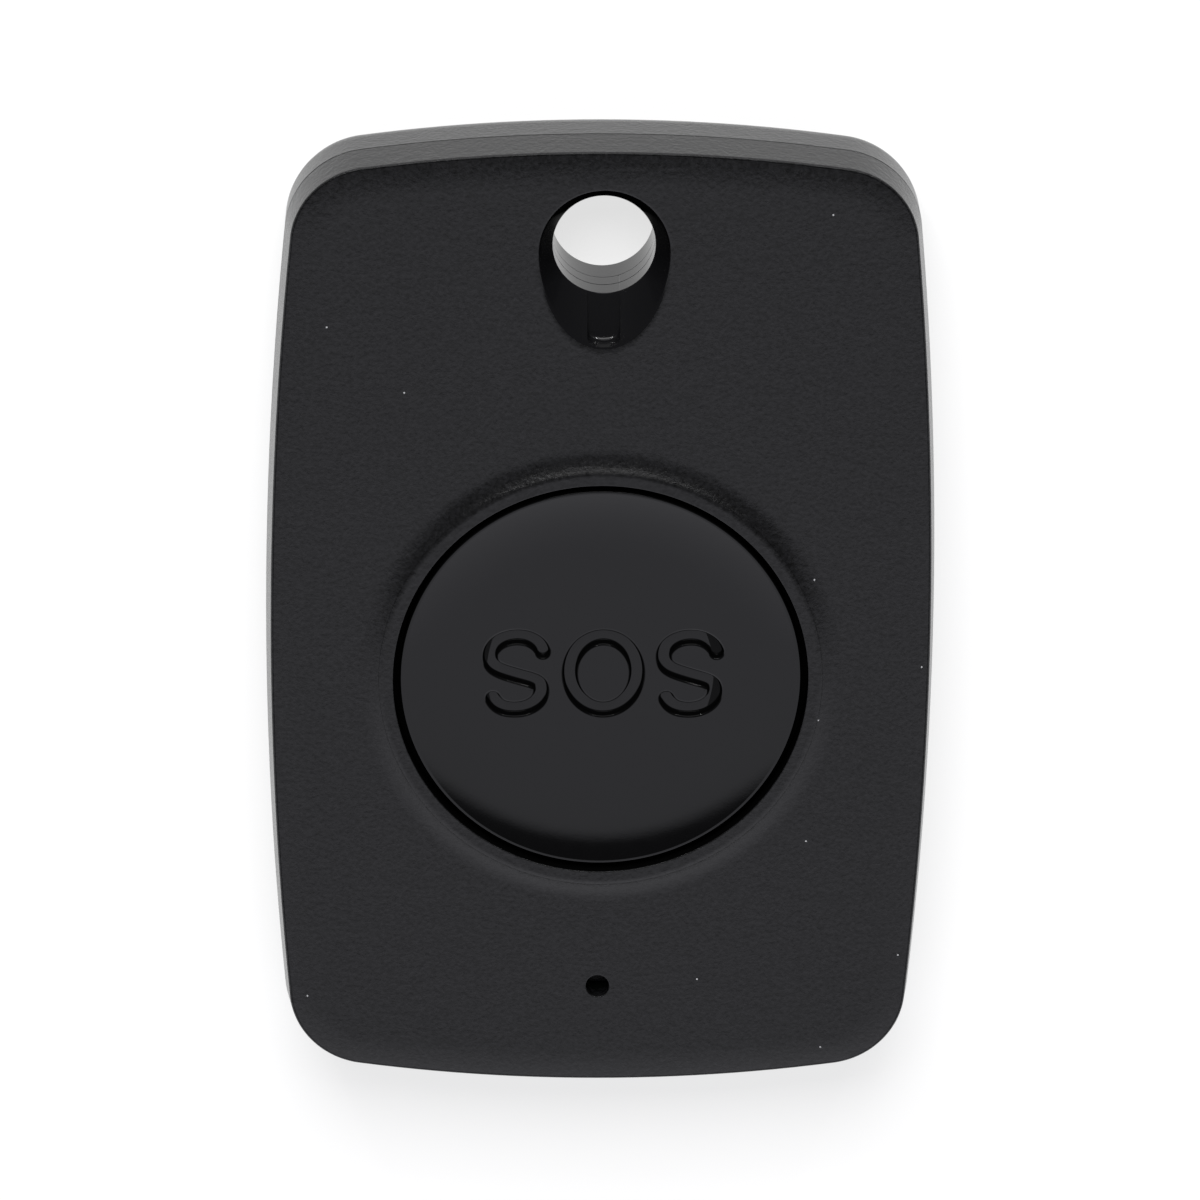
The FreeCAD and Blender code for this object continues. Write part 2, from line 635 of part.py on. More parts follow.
def build_front_shell():
    """The front shell: a drafted tray with a crowned edge, the raised collar round the
    button, the scooped keyring bore and the light's hole; inside it the groove for the
    joint, the ring that guides the button and four posts that clamp the board."""
    body = new_body("front_shell")
    side_rise = S.front_depth - S.edge_drop - S.crown_drop
    bands = [
        ("side", side_rise * tangent(S.front_draft), side_rise),
        ("edge", S.edge_run, S.edge_drop),
        ("crown", S.crown_run, S.crown_drop),
    ]
    inset, height = ZERO, S.rear_depth
    for name, run, rise in bands:
        sketch = new_sketch(body, name + "_outline", offset=height)
        draw_case_outline(sketch, inset)
        pad(body, name + "_band", sketch, rise, draft=draft_of(run, rise))
        inset, height = inset + run, height + rise

    sketch = new_sketch(body, "collar_section", "XZ_Plane", S.button_offset)
    draw_path(sketch, collar_profile())
    turn_solid(body, "collar", sketch)

    sketch = new_sketch(body, "cavity_outline", offset=S.rear_depth)
    draw_case_outline(sketch, S.wall)
    pocket(body, "cavity", sketch, CEILING - S.rear_depth, up=True)
    build_bore_block(body, BLOCK_LOW, CEILING)
    sketch = new_sketch(body, "groove_outline", offset=S.rear_depth)
    draw_case_outline(sketch, GROOVE)
    draw_case_outline(sketch, S.wall + S.joint_gap)
    pocket(body, "groove", sketch, S.tongue_rise + S.joint_gap, up=True)
    sketch = new_sketch(body, "catch_outline", offset=S.rear_depth + S.nose_lift - S.joint_gap)
    draw_snap_strips(sketch, GROOVE - S.nose_reach, S.wall, S.nose_length + S.joint_gap * 4)
    pocket(body, "catches", sketch, S.nose_height + S.joint_gap * 2, up=True)

    build_bore(body, CASE_TOP, BORE_RIM)
    sketch = new_sketch(body, "slot_outline", offset=CASE_TOP)
    half_slot = S.slot_width / 2
    slot_end = S.bore_offset - S.slot_reach
    draw_rectangle(sketch, -half_slot, slot_end, half_slot, S.bore_offset)
    pocket(body, "cord_slot", sketch, S.scoop_depth)

    below = -S.button_offset
    sketch = new_sketch(body, "guide_outline", offset=CEILING - S.guide_drop)
    draw_circle(sketch, ZERO, below, GUIDE_RADIUS)
    draw_circle(sketch, ZERO, below, GUIDE_RADIUS + S.guide_wall)
    pad(body, "guide_ring", sketch, S.guide_drop)
    reach = GUIDE_RADIUS + S.guide_wall * 2
    window = S.guide_window / 2
    for name, across, along in (("side", reach, window), ("end", window, reach)):
        sketch = new_sketch(body, name + "_windows_outline", offset=CEILING)
        draw_rectangle(sketch, -across, below - along, across, below + along)
        pocket(body, name + "_windows", sketch, S.guide_drop)
    sketch = new_sketch(body, "opening_outline", offset=CASE_TOP + S.collar_rise)
    draw_circle(sketch, ZERO, below, S.opening_radius)
    pocket(body, "opening", sketch, S.collar_rise + S.wall)
    sketch = new_sketch(body, "light_outline", offset=CASE_TOP)
    draw_circle(sketch, ZERO, -S.led_offset, S.led_hole_radius)
    pocket(body, "light_hole", sketch, S.wall)
    sketch = new_sketch(body, "post_outline", offset=BOARD_TOP)
    draw_posts(sketch)
    pad(body, "posts", sketch, CEILING - BOARD_TOP)


def build_rear_shell():
    """The rear shell: a tray with a rounded back edge, the tongue with its snap noses, the
    scooped bore, the ring round the cell, the board's posts and the opening notch."""
    body = new_body("rear_shell")
    sketch = new_sketch(body, "outline", offset=S.rear_depth)
    draw_case_outline(sketch, ZERO)
    side_drop = S.rear_depth - S.back_round
    pad(body, "tray", sketch, side_drop, down=True, draft=S.rear_draft)
    inset = side_drop * tangent(S.rear_draft)
    for number, (upper, lower) in enumerate(zip(ROUND_CORNERS, ROUND_CORNERS[1:])):
        height = S.back_round * (1 - upper[1])
        run = S.back_round * (lower[0] - upper[0])
        drop = S.back_round * (lower[1] - upper[1])
        sketch = new_sketch(body, f"back_outline_{number}", offset=height)
        draw_case_outline(sketch, inset + S.back_round * upper[0])
        pad(body, f"back_band_{number}", sketch, drop, down=True, draft=draft_of(run, drop))
    sketch = new_sketch(body, "cavity_outline", offset=S.rear_depth)
    draw_case_outline(sketch, S.wall)
    cavity = pocket(body, "cavity", sketch, S.rear_depth - S.wall)
    floor = S.wall.value
    edges = edges_between(cavity, floor - TINY, floor + TINY)
    dress(body, "Chamfer", "floor_edge", cavity, edges, Size=(S.back_round - S.wall) * FLAT_SHARE)

    sketch = new_sketch(body, "tongue_outline", offset=S.rear_depth)
    draw_case_outline(sketch, S.wall - S.tongue_wall)
    draw_case_outline(sketch, S.wall)
    pad(body, "tongue", sketch, S.tongue_rise)
    sketch = new_sketch(body, "nose_outline", offset=S.rear_depth + S.nose_lift)
    tongue_face = S.wall - S.tongue_wall
    draw_snap_strips(
        sketch, tongue_face - S.nose_reach, S.wall - S.tongue_wall / 2, S.nose_length
    )
    pad(body, "noses", sketch, S.nose_height)

    build_bore_block(body, S.wall, S.scoop_depth + S.bore_wall)
    build_bore(body, ZERO, S.scoop_depth)

    below = -S.button_offset
    ring_inner = S.cell_radius + S.cell_gap
    ring_outer = ring_inner + S.ring_wall
    sketch = new_sketch(body, "ring_outline", offset=S.wall)
    draw_circle(sketch, ZERO, below, ring_inner)
    draw_circle(sketch, ZERO, below, ring_outer)
    pad(body, "cell_ring", sketch, S.ring_rise)
    sketch = new_sketch(body, "ring_gap_outline", offset=S.wall + S.ring_rise)
    half_gap = S.clip_width / 2 + S.clip_clearance
    near, far = S.cell_radius - S.ring_wall, ring_outer + S.ring_wall
    draw_rectangle(sketch, near, below - half_gap, far, below + half_gap)
    draw_rectangle(sketch, -far, below - half_gap, -near, below + half_gap)
    pocket(body, "ring_gaps", sketch, S.ring_rise)

    sketch = new_sketch(body, "post_outline", offset=S.wall)
    draw_posts(sketch)
    pad(body, "posts", sketch, BOARD_LOW - S.wall)
    sketch = new_sketch(body, "pin_outline", offset=BOARD_LOW)
    for x, y in PINNED_POSTS:
        draw_circle(sketch, x, y, S.pin_radius)
    pad(body, "pins", sketch, S.board_thick - S.joint_gap)

    sketch = new_sketch(body, "notch_outline", offset=S.rear_depth)
    wall_face = side_reach(ZERO, S.pry_offset)
    half = S.pry_width / 2
    draw_rectangle(
        sketch,
        -wall_face - S.pry_depth,
        -S.pry_offset - half,
        -wall_face + S.pry_depth,
        -S.pry_offset + half,
    )
    pocket(body, "opening_notch", sketch, S.pry_height)


def build_button_cap():
    """The button: a dished plate with a thin flat rim, a skirt, a flange that keeps it
    behind the front wall and a nib over the switch. The dish's edge is an arc that leaves its
    floor level, drawn as two chords."""
    body = new_body("button_cap", y=-S.button_offset, z=CAP_LOW)
    sketch = new_sketch(body, "section", "XZ_Plane")
    rim = CAP_RIM - CAP_LOW
    dish = rim - S.dish_depth
    under = CAP_UNDER - CAP_LOW
    nib = PLUNGER_TOP + S.nib_gap - CAP_LOW
    dish_edge = S.button_radius - S.rim_width
    dish_flat = dish_edge - S.dish_run
    squares = S.dish_run * S.dish_run + S.dish_depth * S.dish_depth
    edge_round = squares / (S.dish_depth * 2)
    half_sine, half_fall = half_turn(S.dish_run / edge_round)
    points = [
        (ZERO, nib),
        (S.nib_radius, nib),
        (S.nib_radius, under),
        (S.skirt_inner, under),
        (S.skirt_inner, ZERO),
        (S.flange_radius, ZERO),
        (S.flange_radius, S.flange_thick),
        (S.button_radius, S.flange_thick),
        (S.button_radius, rim),
        (dish_edge, rim),
        (dish_flat + edge_round * half_sine, dish + edge_round * half_fall),
        (dish_flat, dish),
        (ZERO, dish),
    ]
    draw_path(sketch, points)
    turn_solid(body, "cap", sketch)


def build_return_ring():
    """The soft ring round the switch that pushes the button back."""
    body = new_body("return_ring", y=-S.button_offset, z=BOARD_TOP)
    sketch = new_sketch(body, "outline")
    draw_circle(sketch, ZERO, ZERO, S.pad_inner)
    draw_circle(sketch, ZERO, ZERO, S.pad_outer)
    pad(body, "ring", sketch, CAP_UNDER - S.pad_gap - BOARD_TOP)


def build_circuit_board():
    """The board follows the case and is notched round the bore's block."""
    body = new_body("circuit_board")
    sketch = new_sketch(body, "outline", offset=BOARD_LOW)
    draw_case_outline(sketch, S.wall + S.board_gap)
    pad(body, "board", sketch, S.board_thick)
    sketch = new_sketch(body, "notch_outline", offset=BOARD_TOP)
    notch = SCOOP_HALF + S.bore_wall + S.board_notch_gap
    notch_low = S.bore_offset - S.scoop_reach - S.bore_wall - S.board_notch_gap
    draw_rectangle(sketch, -notch, notch_low, notch, S.case_length / 2)
    pocket(body, "bore_notch", sketch, S.board_thick)
    sketch = new_sketch(body, "pin_holes", offset=BOARD_TOP)
    for x, y in PINNED_POSTS:
        draw_circle(sketch, x, y, S.pin_radius + S.pin_gap)
    pocket(body, "holes", sketch, S.board_thick)


def build_coin_cell():
    """A standard coin cell: a can and the raised negative face."""
    body = new_body("coin_cell", y=-S.button_offset, z=S.wall + S.clip_thick)
    sketch = new_sketch(body, "section", "XZ_Plane")
    crimp = S.cell_thick - S.cell_face_rise
    points = [
        (ZERO, ZERO),
        (S.cell_radius, ZERO),
        (S.cell_radius, crimp),
        (S.cell_face_radius, crimp),
        (S.cell_face_radius, S.cell_thick),
        (ZERO, S.cell_thick),
    ]
    draw_path(sketch, points)
    turn_solid(body, "can", sketch)


def build_battery_clip():
    """The spring strip under the cell: up both sides, with feet soldered to the board."""
    body = new_body("battery_clip", y=-S.button_offset, z=S.wall)
    sketch = new_sketch(body, "section", "XZ_Plane", -S.clip_width / 2)
    inner = S.cell_radius + S.clip_gap
    outer = inner + S.clip_thick
    tip = inner + S.clip_foot
    top = BOARD_LOW - S.wall
    low = top - S.clip_thick
    right = [(outer, ZERO), (outer, low), (tip, low), (tip, top), (inner, top)]
    right.append((inner, S.clip_thick))
    left = [(-x, z) for x, z in reversed(right)]
    draw_path(sketch, right + left)
    pad(body, "strip", sketch, S.clip_width)


def place(item, x, y, z):
    """Stands an object at x, y, z and ties its place to the sheet."""
    item.Placement = Placement(Vector(x.value, y.value, z.value), Rotation())
    for axis, size in zip("xyz", (x, y, z)):
        bind(item, f"Placement.Base.{axis}", size)


def add_box(name, length, width, height, x, y, z):
    """A box centred on x, y with its lower face at z."""
    box = DOC.addObject("Part::Box", name)
    for path, size in (("Length", length), ("Width", width), ("Height", height)):
        bind(box, path, size)
    place(box, x - length / 2, y - width / 2, z)
    return box


def add_cylinder(name, radius, height, x, y, z):
    cylinder = DOC.addObject("Part::Cylinder", name)
    bind(cylinder, "Radius", radius)
    bind(cylinder, "Height", height)
    place(cylinder, x, y, z)
    return cylinder


def combine(kind, name, base, tool):
    """One solid cut from another, or joined to it."""
    item = DOC.addObject(f"Part::{kind}", name)
    item.Base = base
    item.Tool = tool
    return item


def gather(label, pieces):
    """A group of like pieces that share one node."""
    group = DOC.addObject("Part::Compound", label)
    group.Links = pieces
    keep(group, label)


def keep(item, label):
    item.Label = label
    SUBPARTS.append(item)


def build_switch():
    """The low push switch: a base with a well, a steel cover, the plunger, four feet."""
    y = -S.button_offset
    side = S.switch_side
    base = add_box("switch_block", side, side, S.switch_rise, ZERO, y, BOARD_TOP)
    well_depth = S.switch_rise - S.switch_floor
    well_low = BOARD_TOP + S.switch_floor
    well = add_cylinder("switch_well_space", S.switch_well, well_depth, ZERO, y, well_low)
    keep(combine("Cut", "switch_base_cut", base, well), "switch_base")
    plate = add_box("cover_plate", side, side, S.cover_thick, ZERO, y, COVER_LOW)
    hole = add_cylinder("cover_space", S.cover_hole, S.cover_thick, ZERO, y, COVER_LOW)
    keep(combine("Cut", "switch_cover_cut", plate, hole), "switch_cover")
    foot_low = COVER_LOW - S.plunger_foot_thick
    foot = add_cylinder(
        "plunger_foot_disc", S.plunger_foot, S.plunger_foot_thick, ZERO, y, foot_low
    )
    stem = add_cylinder(
        "plunger_stem", S.plunger_radius, PLUNGER_TOP - foot_low, ZERO, y, foot_low
    )
    keep(combine("Fuse", "plunger_join", foot, stem), "switch_plunger")
    terminals = []
    across = (side + S.terminal_length) / 2
    along = (side - S.terminal_width) / 2
    for number, (right, upper) in enumerate(((1, 1), (-1, 1), (-1, -1), (1, -1))):
        terminals.append(
            add_box(
                f"terminal_{number}",
                S.terminal_length,
                S.terminal_width,
                S.terminal_thick,
                across * right,
                y + along * upper,
                BOARD_TOP,
            )
        )
    gather("switch_terminals", terminals)


def build_antenna():
    """A bent metal strip that lies on the board beside the bore."""
    half_width, half_thick = S.strip_width / 2, S.strip_thick / 2
    body = new_body("antenna", z=BOARD_TOP + half_thick)
    bend = (S.strip_far - S.strip_near) / 2
    route = new_sketch(body, "route")
    places = [
        (S.strip_near, S.strip_start),
        (S.strip_near, S.strip_end),
        (S.strip_far, S.strip_end),
        (S.strip_far, S.strip_start),
    ]
    points = [Vector(x.value, y.value, 0) for x, y in places]
    rise = route.addGeometry(Part.LineSegment(points[0], points[1]))
    turn = route.addGeometry(arc_between(points[1], points[2], bend.value, -1))
    fall = route.addGeometry(Part.LineSegment(points[2], points[3]))
    for line, first in ((rise, 0), (fall, 2)):
        pin_point(route, line, 1, *places[first])
        pin_point(route, line, 2, *places[first + 1])
    route.addConstraint(Sketcher.Constraint("Coincident", turn, 2, rise, 2))
    route.addConstraint(Sketcher.Constraint("Coincident", turn, 1, fall, 1))
    tie(route, "DistanceY", S.strip_end, turn, 3)
    section = new_sketch(body, "strip_section", "XZ_Plane", -S.strip_start)
    low_x, high_x = S.strip_near - half_width, S.strip_near + half_width
    draw_rectangle(section, low_x, -half_thick, high_x, half_thick)
    feature, before = begin_feature(body, "AdditivePipe", "strip", section)
    feature.Spine = (route, [])
    settle(body, feature, before)


def build_board_parts():
    """The parts soldered to the board: three in the row above the button, the status light
    under its hole and the small ones beside them."""
    y = S.chip_row
    chips = [
        ("radio_chip", S.radio_side, S.radio_side, S.radio_thick, -S.radio_across),
        (
            "microcontroller",
            S.controller_length,
            S.controller_width,
            S.controller_thick,
            S.controller_across,
        ),
        ("crystal", S.crystal_length, S.crystal_width, S.crystal_thick, -S.crystal_across),
    ]
    for label, length, width, height, x in chips:
        keep(add_box(label + "_box", length, width, height, x, y, BOARD_TOP), label)
    light = add_box(
        "light_box", S.led_length, S.led_width, S.led_thick, ZERO, -S.led_offset, BOARD_TOP
    )
    keep(light, "status_light")
    step = S.passive_width * 2
    beside = S.passive_length * 2
    rows = [
        ("chip_capacitors", S.capacitor_thick, S.controller_across + S.controller_length, y, 4),
        ("chip_resistors", S.resistor_thick, beside, -S.led_offset, 3),
        ("chip_inductors", S.inductor_thick, -beside, -S.led_offset, 2),
    ]
    for label, height, x, row_y, count in rows:
        pieces = []
        for number in range(count):
            place_y = row_y + step * (number - (count - 1) / 2)
            pieces.append(
                add_box(
                    f"{label}_{number}",
                    S.passive_length,
                    S.passive_width,
                    height,
                    x,
                    place_y,
                    BOARD_TOP,
                )
            )
        gather(label, pieces)


def build_contact():
    """The pad under the board that meets the cell's negative face."""
    low = BOARD_LOW - S.contact_thick
    side = S.contact_side
    contact = add_box("contact_pad", side, side, S.contact_thick, ZERO, -S.button_offset, low)
    keep(contact, "battery_contact")


def write_parts():
    """Checks every object, then writes each sub-part to its own file."""
    DOC.recompute()
    for item in DOC.Objects:
        if "Invalid" in item.State or "Error" in item.State:
            raise RuntimeError(f"{item.Label} is {item.State}")
    for item in SUBPARTS:
        if item.Shape.isNull() or not item.Shape.isValid():
            raise RuntimeError(f"{item.Label} has no valid shape")
    os.makedirs("parts", exist_ok=True)
    for item in SUBPARTS:
        item.Shape.exportStep(f"parts/{item.Label}.step")
        box = item.Shape.BoundBox
        print(f"{item.Label:18s} {item.Shape.Volume:9.2f} mm3, z {box.ZMin:.2f} to {box.ZMax:.2f}")


build_front_shell()
build_rear_shell()
build_button_cap()
build_return_ring()
build_circuit_board()
build_coin_cell()
build_battery_clip()
build_contact()
build_switch()
build_antenna()
build_board_parts()
write_parts()
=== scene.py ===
"""Dresses the packed frame of a wireless panic button: a black key-fob case with a raised collar,
a dished button with engraved letters, the board and cell inside, and a plain pale studio.
Lengths are in metres, in the frame's own axes: +Z out of the face, +Y towards the keyring."""

import bmesh
import bpy
import numpy as np
from bpy.props import FloatProperty, FloatVectorProperty, PointerProperty
from mathutils import Matrix, Vector
from mathutils.geometry import delaunay_2d_cdt


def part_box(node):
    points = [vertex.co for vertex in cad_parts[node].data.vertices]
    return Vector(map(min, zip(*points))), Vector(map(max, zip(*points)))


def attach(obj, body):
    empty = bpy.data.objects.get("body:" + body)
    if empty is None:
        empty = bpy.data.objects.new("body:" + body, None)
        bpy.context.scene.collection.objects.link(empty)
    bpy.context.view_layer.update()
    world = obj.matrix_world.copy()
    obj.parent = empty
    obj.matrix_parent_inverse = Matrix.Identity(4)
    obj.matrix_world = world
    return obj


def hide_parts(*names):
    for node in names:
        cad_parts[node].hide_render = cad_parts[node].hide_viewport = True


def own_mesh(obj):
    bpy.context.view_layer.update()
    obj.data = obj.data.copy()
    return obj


bl_info = {
    "name": "Wireless panic button",
    "version": (1, 0, 0),
    "blender": (4, 5, 0),
    "location": "3D View > Sidebar > Panic button",
    "description": "Case, button, inner parts and studio of a wireless panic button",
    "category": "Object",
}

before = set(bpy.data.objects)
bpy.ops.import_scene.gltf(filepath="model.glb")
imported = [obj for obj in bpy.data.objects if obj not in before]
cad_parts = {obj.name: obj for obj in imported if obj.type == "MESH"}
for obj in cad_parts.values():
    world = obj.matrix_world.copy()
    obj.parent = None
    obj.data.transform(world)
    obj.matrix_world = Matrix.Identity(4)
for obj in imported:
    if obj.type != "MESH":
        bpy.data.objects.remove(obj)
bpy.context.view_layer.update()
MM = 0.001
DEGREE = np.pi / 180
SHARP_EDGE = 50 * DEGREE
ROUND_COLUMNS = 288
HOLE_COLUMNS = 64
PIN_COLUMNS = 40


def node_size(node, axis):
    """A CAD node's extent along one axis."""
    low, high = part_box(node)
    return high[axis] - low[axis]


def length(name, description, millimetres):
    """A length that a user would change."""
    return FloatProperty(
        name=name, description=description, default=millimetres * MM, unit="LENGTH", precision=5
    )


def angle(name, description, degrees):
    return FloatProperty(
        name=name, description=description, default=degrees * DEGREE, subtype="ANGLE"
    )


def colour(name, description, value):
    return FloatVectorProperty(
        name=name, description=description, default=value, subtype="COLOR", size=3, min=0, max=1
    )


def share(name, description, value, top=1.0):
    return FloatProperty(
        name=name, description=description, default=value, subtype="FACTOR", min=0, max=top
    )


class CaseSizes(bpy.types.PropertyGroup):
    """Outline, depths and edges of the two shells."""

    width: length("Width", "Overall width", node_size("rear_shell", 0) / MM)
    length: length("Length", "Overall length", node_size("rear_shell", 1) / MM)
    side_bow: length("Side bow", "Radius of the bowed long sides", 257.5)
    end_bow: length("End bow", "Radius of the bowed ends", 103.5)
    corner: length("Corner", "Radius of the corners", 5.2)
    joint: length("Joint", "Height of the parting line", 5.2)
    face: length("Face", "Height of the front face", 8.0)
    wall: length("Wall", "Thickness of both shells", 1.2)
    front_draft: angle("Front draft", "Draft of the front shell's side", 6.6)
    rear_draft: angle("Rear draft", "Draft of the rear shell's side", 1.0)
    back_round: length("Back round", "Round of the back edge", 3.0)
    crown_run: length("Crown width", "Width of the sloped band at the front edge", 1.05)
    crown_drop: length("Crown drop", "Fall of that band", 0.28)
    crown_round: length("Crown round", "Radius that leads into the band", 7.3)
    edge_round: length("Edge round", "Round of the front edge", 0.18)
    lip_round: length("Lip round", "Round of both lips at the joint", 0.07)
    tongue_wall: length("Tongue", "Thickness of the tongue at the joint", 0.55)
    tongue_rise: length("Tongue rise", "Height of the tongue", 0.8)
    joint_gap: length("Joint gap", "Play between tongue and groove", 0.05)
    notch_width: length("Notch width", "Width of the opening notch", 2.8)
    notch_height: length("Notch height", "Height of the opening notch", 0.7)
    notch_depth: length("Notch depth", "Depth of the opening notch", 0.8)
    notch_place: length("Notch place", "Opening notch along the case", -23.0)
    post: length("Post", "Half the side of the square posts", 1.2)
    pin: length("Pin", "Radius of the locating pins", 0.6)
    post_across: length("Posts across", "Posts from the centre line", 15.0)
    post_high: length("Upper posts", "Upper posts along the case", 12.5)
    post_low: length("Lower posts", "Lower posts along the case", -20.0)
    light_hole: length("Light hole", "Radius of the hole over the status light", 0.7)
    light_place: length("Light place", "Status light along the case", -23.5)
    cell_ring: length("Cell ring", "Inner radius of the ring round the cell", 10.2)
    ring_wall: length("Ring wall", "Thickness of the ring", 0.8)
    ring_rise: length("Ring rise", "Height of the ring above the floor", 2.0)
    ring_gap: length("Ring gap", "Half of the gap for the battery clip", 2.9)


class BoreSizes(bpy.types.PropertyGroup):
    """The keyring bore with its scoops and the cord slot."""

    place: length("Place", "Bore along the case", 23.5)
    radius: length("Radius", "Radius of the bore", 3.05)
    wall: length("Wall", "Wall round the bore and the scoops", 1.0)
    depth: length("Scoop depth", "Depth of the scoop at the bore", 1.6)
    mouth: length("Scoop mouth", "Half the width of the scoop", 3.9)
    reach: length("Scoop reach", "Reach of the scoop towards the button", 6.05)
    margin: length("Margin", "Flat margin round the scoop's mouth", 0.8)
    end_margin: length("End margin", "That margin towards the case's end", 0.2)
    lip: length("Lip", "Softness of the scoop's edge", 0.22)
    split: length("Split", "Height where the two tubes meet", 3.7)
    slot_half: length("Slot", "Half the width of the cord slot", 0.975)
    slot_reach: length("Slot reach", "Reach of the slot towards the button", 5.9)
    slot_foot: length("Slot foot", "Hollow round at the slot's end", 0.4)
    slot_turn: length("Slot turn", "How far the slot's end is rounded", 0.6)
    slot_rise: length("Slot rise", "Climb of the slot's floor", 0.6)
    line: length("Line", "Height of the fine line inside the bore", 5.0)


class ButtonSizes(bpy.types.PropertyGroup):
    """The button, its opening and the raised collar."""

    place: length("Place", "Button along the case", -3.4)
    radius: length("Radius", "Radius of the button", 11.97)
    opening: length("Opening", "Radius of the opening", 12.41)
    collar_rise: length("Collar rise", "Collar above the face", 0.53)
    collar_land: length("Collar land", "Flat top of the collar", 0.54)
    collar_foot: length("Collar foot", "Radius where the collar meets the face", 14.55)
    crest: length("Crest", "Radius of the collar's shoulder", 0.55)
    sink: length("Sink", "Button's rim below the collar", 0.3)
    dish: length("Dish", "Depth of the dished face", 0.55)
    dish_power: FloatProperty(
        name="Dish power", description="How late the dish rises towards the rim", default=6.0
    )
    dish_band: length("Dish band", "Width of the plain band round the letters", 2.9)
    rim: length("Rim", "Flat rim of the button", 0.17)
    rim_round: length("Rim round", "Round of the rim", 0.08)
    flange: length("Flange", "Radius of the flange", 13.2)
    flange_thick: length("Flange thickness", "Thickness of the flange", 0.5)
    guide: length("Guide", "Inner radius of the ring that guides the flange", 13.4)
    guide_wall: length("Guide wall", "Thickness of that ring", 0.8)
    guide_drop: length("Guide drop", "Height of that ring", 1.0)
    window: length("Window", "Half the width of the four windows in that ring", 4.7)
    skirt: length("Skirt", "Inner radius of the skirt", 10.9)
    plate: length("Plate", "Thickness of the cap", 0.9)
    nib: length("Nib", "Radius of the nib over the switch", 0.9)
    ring_hole: length("Ring hole", "Inner radius of the soft return ring", 3.4)
    ring_give: length("Ring give", "How far the pressed button flattens that ring", 0.22)


class LetterSizes(bpy.types.PropertyGroup):
    """The engraved letters."""

    height: length("Height", "Height of the letters", 5.48)
    drop: length("Drop", "Middle of the letters along the case", -3.29)
    stroke: length("Stroke", "Width of a stroke", 0.83)
    depth: length("Depth", "Depth of the engraving", 0.5)
    lip: length("Lip", "Round of the engraved edge", 0.16)
    foot: length("Foot", "Round at the bottom of the engraving", 0.12)
    bend_width: length("Bend letter", "Width of the bent letter", 4.03)
    round_width: length("Round letter", "Width of the round letter", 4.85)
    left_place: length("Left letter", "Middle of the left letter", -5.02)
    round_place: length("Middle letter", "Middle of the round letter", 0.18)
    right_place: length("Right letter", "Middle of the right letter", 5.37)


class Finish(bpy.types.PropertyGroup):
    """Colours and gloss."""

    case_colour: colour("Case", "Black plastic of the shells", (0.0018, 0.0018, 0.002))
    button_colour: colour("Button", "Black plastic of the button", (0.0018, 0.0018, 0.002))
    case_rough: share("Case roughness", "Roughness of the shells", 0.4)
    button_rough: share("Button roughness", "Roughness of the button", 0.11)
    grain: length("Grain", "Size of the spark texture's grain", 0.16)
    grain_height: length("Grain height", "Height of the spark texture", 0.05)
    side_gloss: share("Side gloss", "How much smoother the sides are", 0.15)
    scoop_rough: share("Scoop roughness", "Roughness of the polished scoop and bore", 0.16)
    dust: share("Dust", "How many dust specks lie on the face", 0.28)


class StudioSizes(bpy.types.PropertyGroup):
    """Camera, lamps and floor."""

    tilt: angle("Tilt", "Camera from upright towards the keyring end", 21.45)
    yaw: angle("Yaw", "Camera to the left", 1.41)
    roll: angle("Roll", "Turn of the picture", 0.569)
    distance: length("Distance", "Camera from its target", 728.7)
    target_x: length("Target across", "Target across the case", -0.076)
    target_y: length("Target along", "Target along the case", 1.543)
    reach: length("View", "Width of the picture at the target", 71.56)
    floor: FloatProperty(name="Floor", description="Side of the floor", default=4.0, unit="LENGTH")
    floor_colour: colour("Floor colour", "Pale floor", (0.9, 0.9, 0.9))
    glow: share("Backdrop", "Pale backdrop that shows in the picture and in gloss", 0.72)


SETTINGS = (
    ("case", CaseSizes),
    ("bore", BoreSizes),
    ("button", ButtonSizes),
    ("letters", LetterSizes),
    ("finish", Finish),
    ("studio", StudioSizes),
)


def settings(context, name):
    return getattr(context.scene, "panic_" + name)


# Surfaces


def soft_path(corners, steps=8):
    """A profile through corners (u, w, radius). A corner with a radius becomes an arc tangent
    to both runs: its centre lies on the half angle at radius / sin(half angle), and its ends at
    radius / tan(half angle) from the corner. A point just beyond each arc keeps the shading of
    the flat run flat."""
    guard = 0.03 * MM
    corners = np.array(corners, float)
    path = [corners[0, :2]]
    for before, here, after in zip(corners, corners[1:], corners[2:]):
        radius = here[2]
        if radius <= 0:
            path.append(here[:2])
            continue
        back, ahead = before[:2] - here[:2], after[:2] - here[:2]
        back_run, ahead_run = np.linalg.norm(back), np.linalg.norm(ahead)
        back, ahead = back / back_run, ahead / ahead_run
        half = np.arccos(np.clip(back @ ahead, -1, 1)) / 2
        reach = radius / np.tan(half)
        middle = (back + ahead) / np.linalg.norm(back + ahead)
        centre = here[:2] + middle * radius / np.sin(half)
        first = here[:2] + back * reach - centre
        last = here[:2] + ahead * reach - centre
        turn = np.pi - 2 * half
        part = np.linspace(0, 1, steps + 1)[:, None]
        arc = (np.sin((1 - part) * turn) * first + np.sin(part * turn) * last) / np.sin(turn)
        if back_run > reach + 3 * guard:
            path.append(here[:2] + back * (reach + guard))
        path.extend(centre + arc)
        if ahead_run > reach + 3 * guard:
            path.append(here[:2] + ahead * (reach + guard))
    path.append(corners[-1, :2])
    return np.array(path)


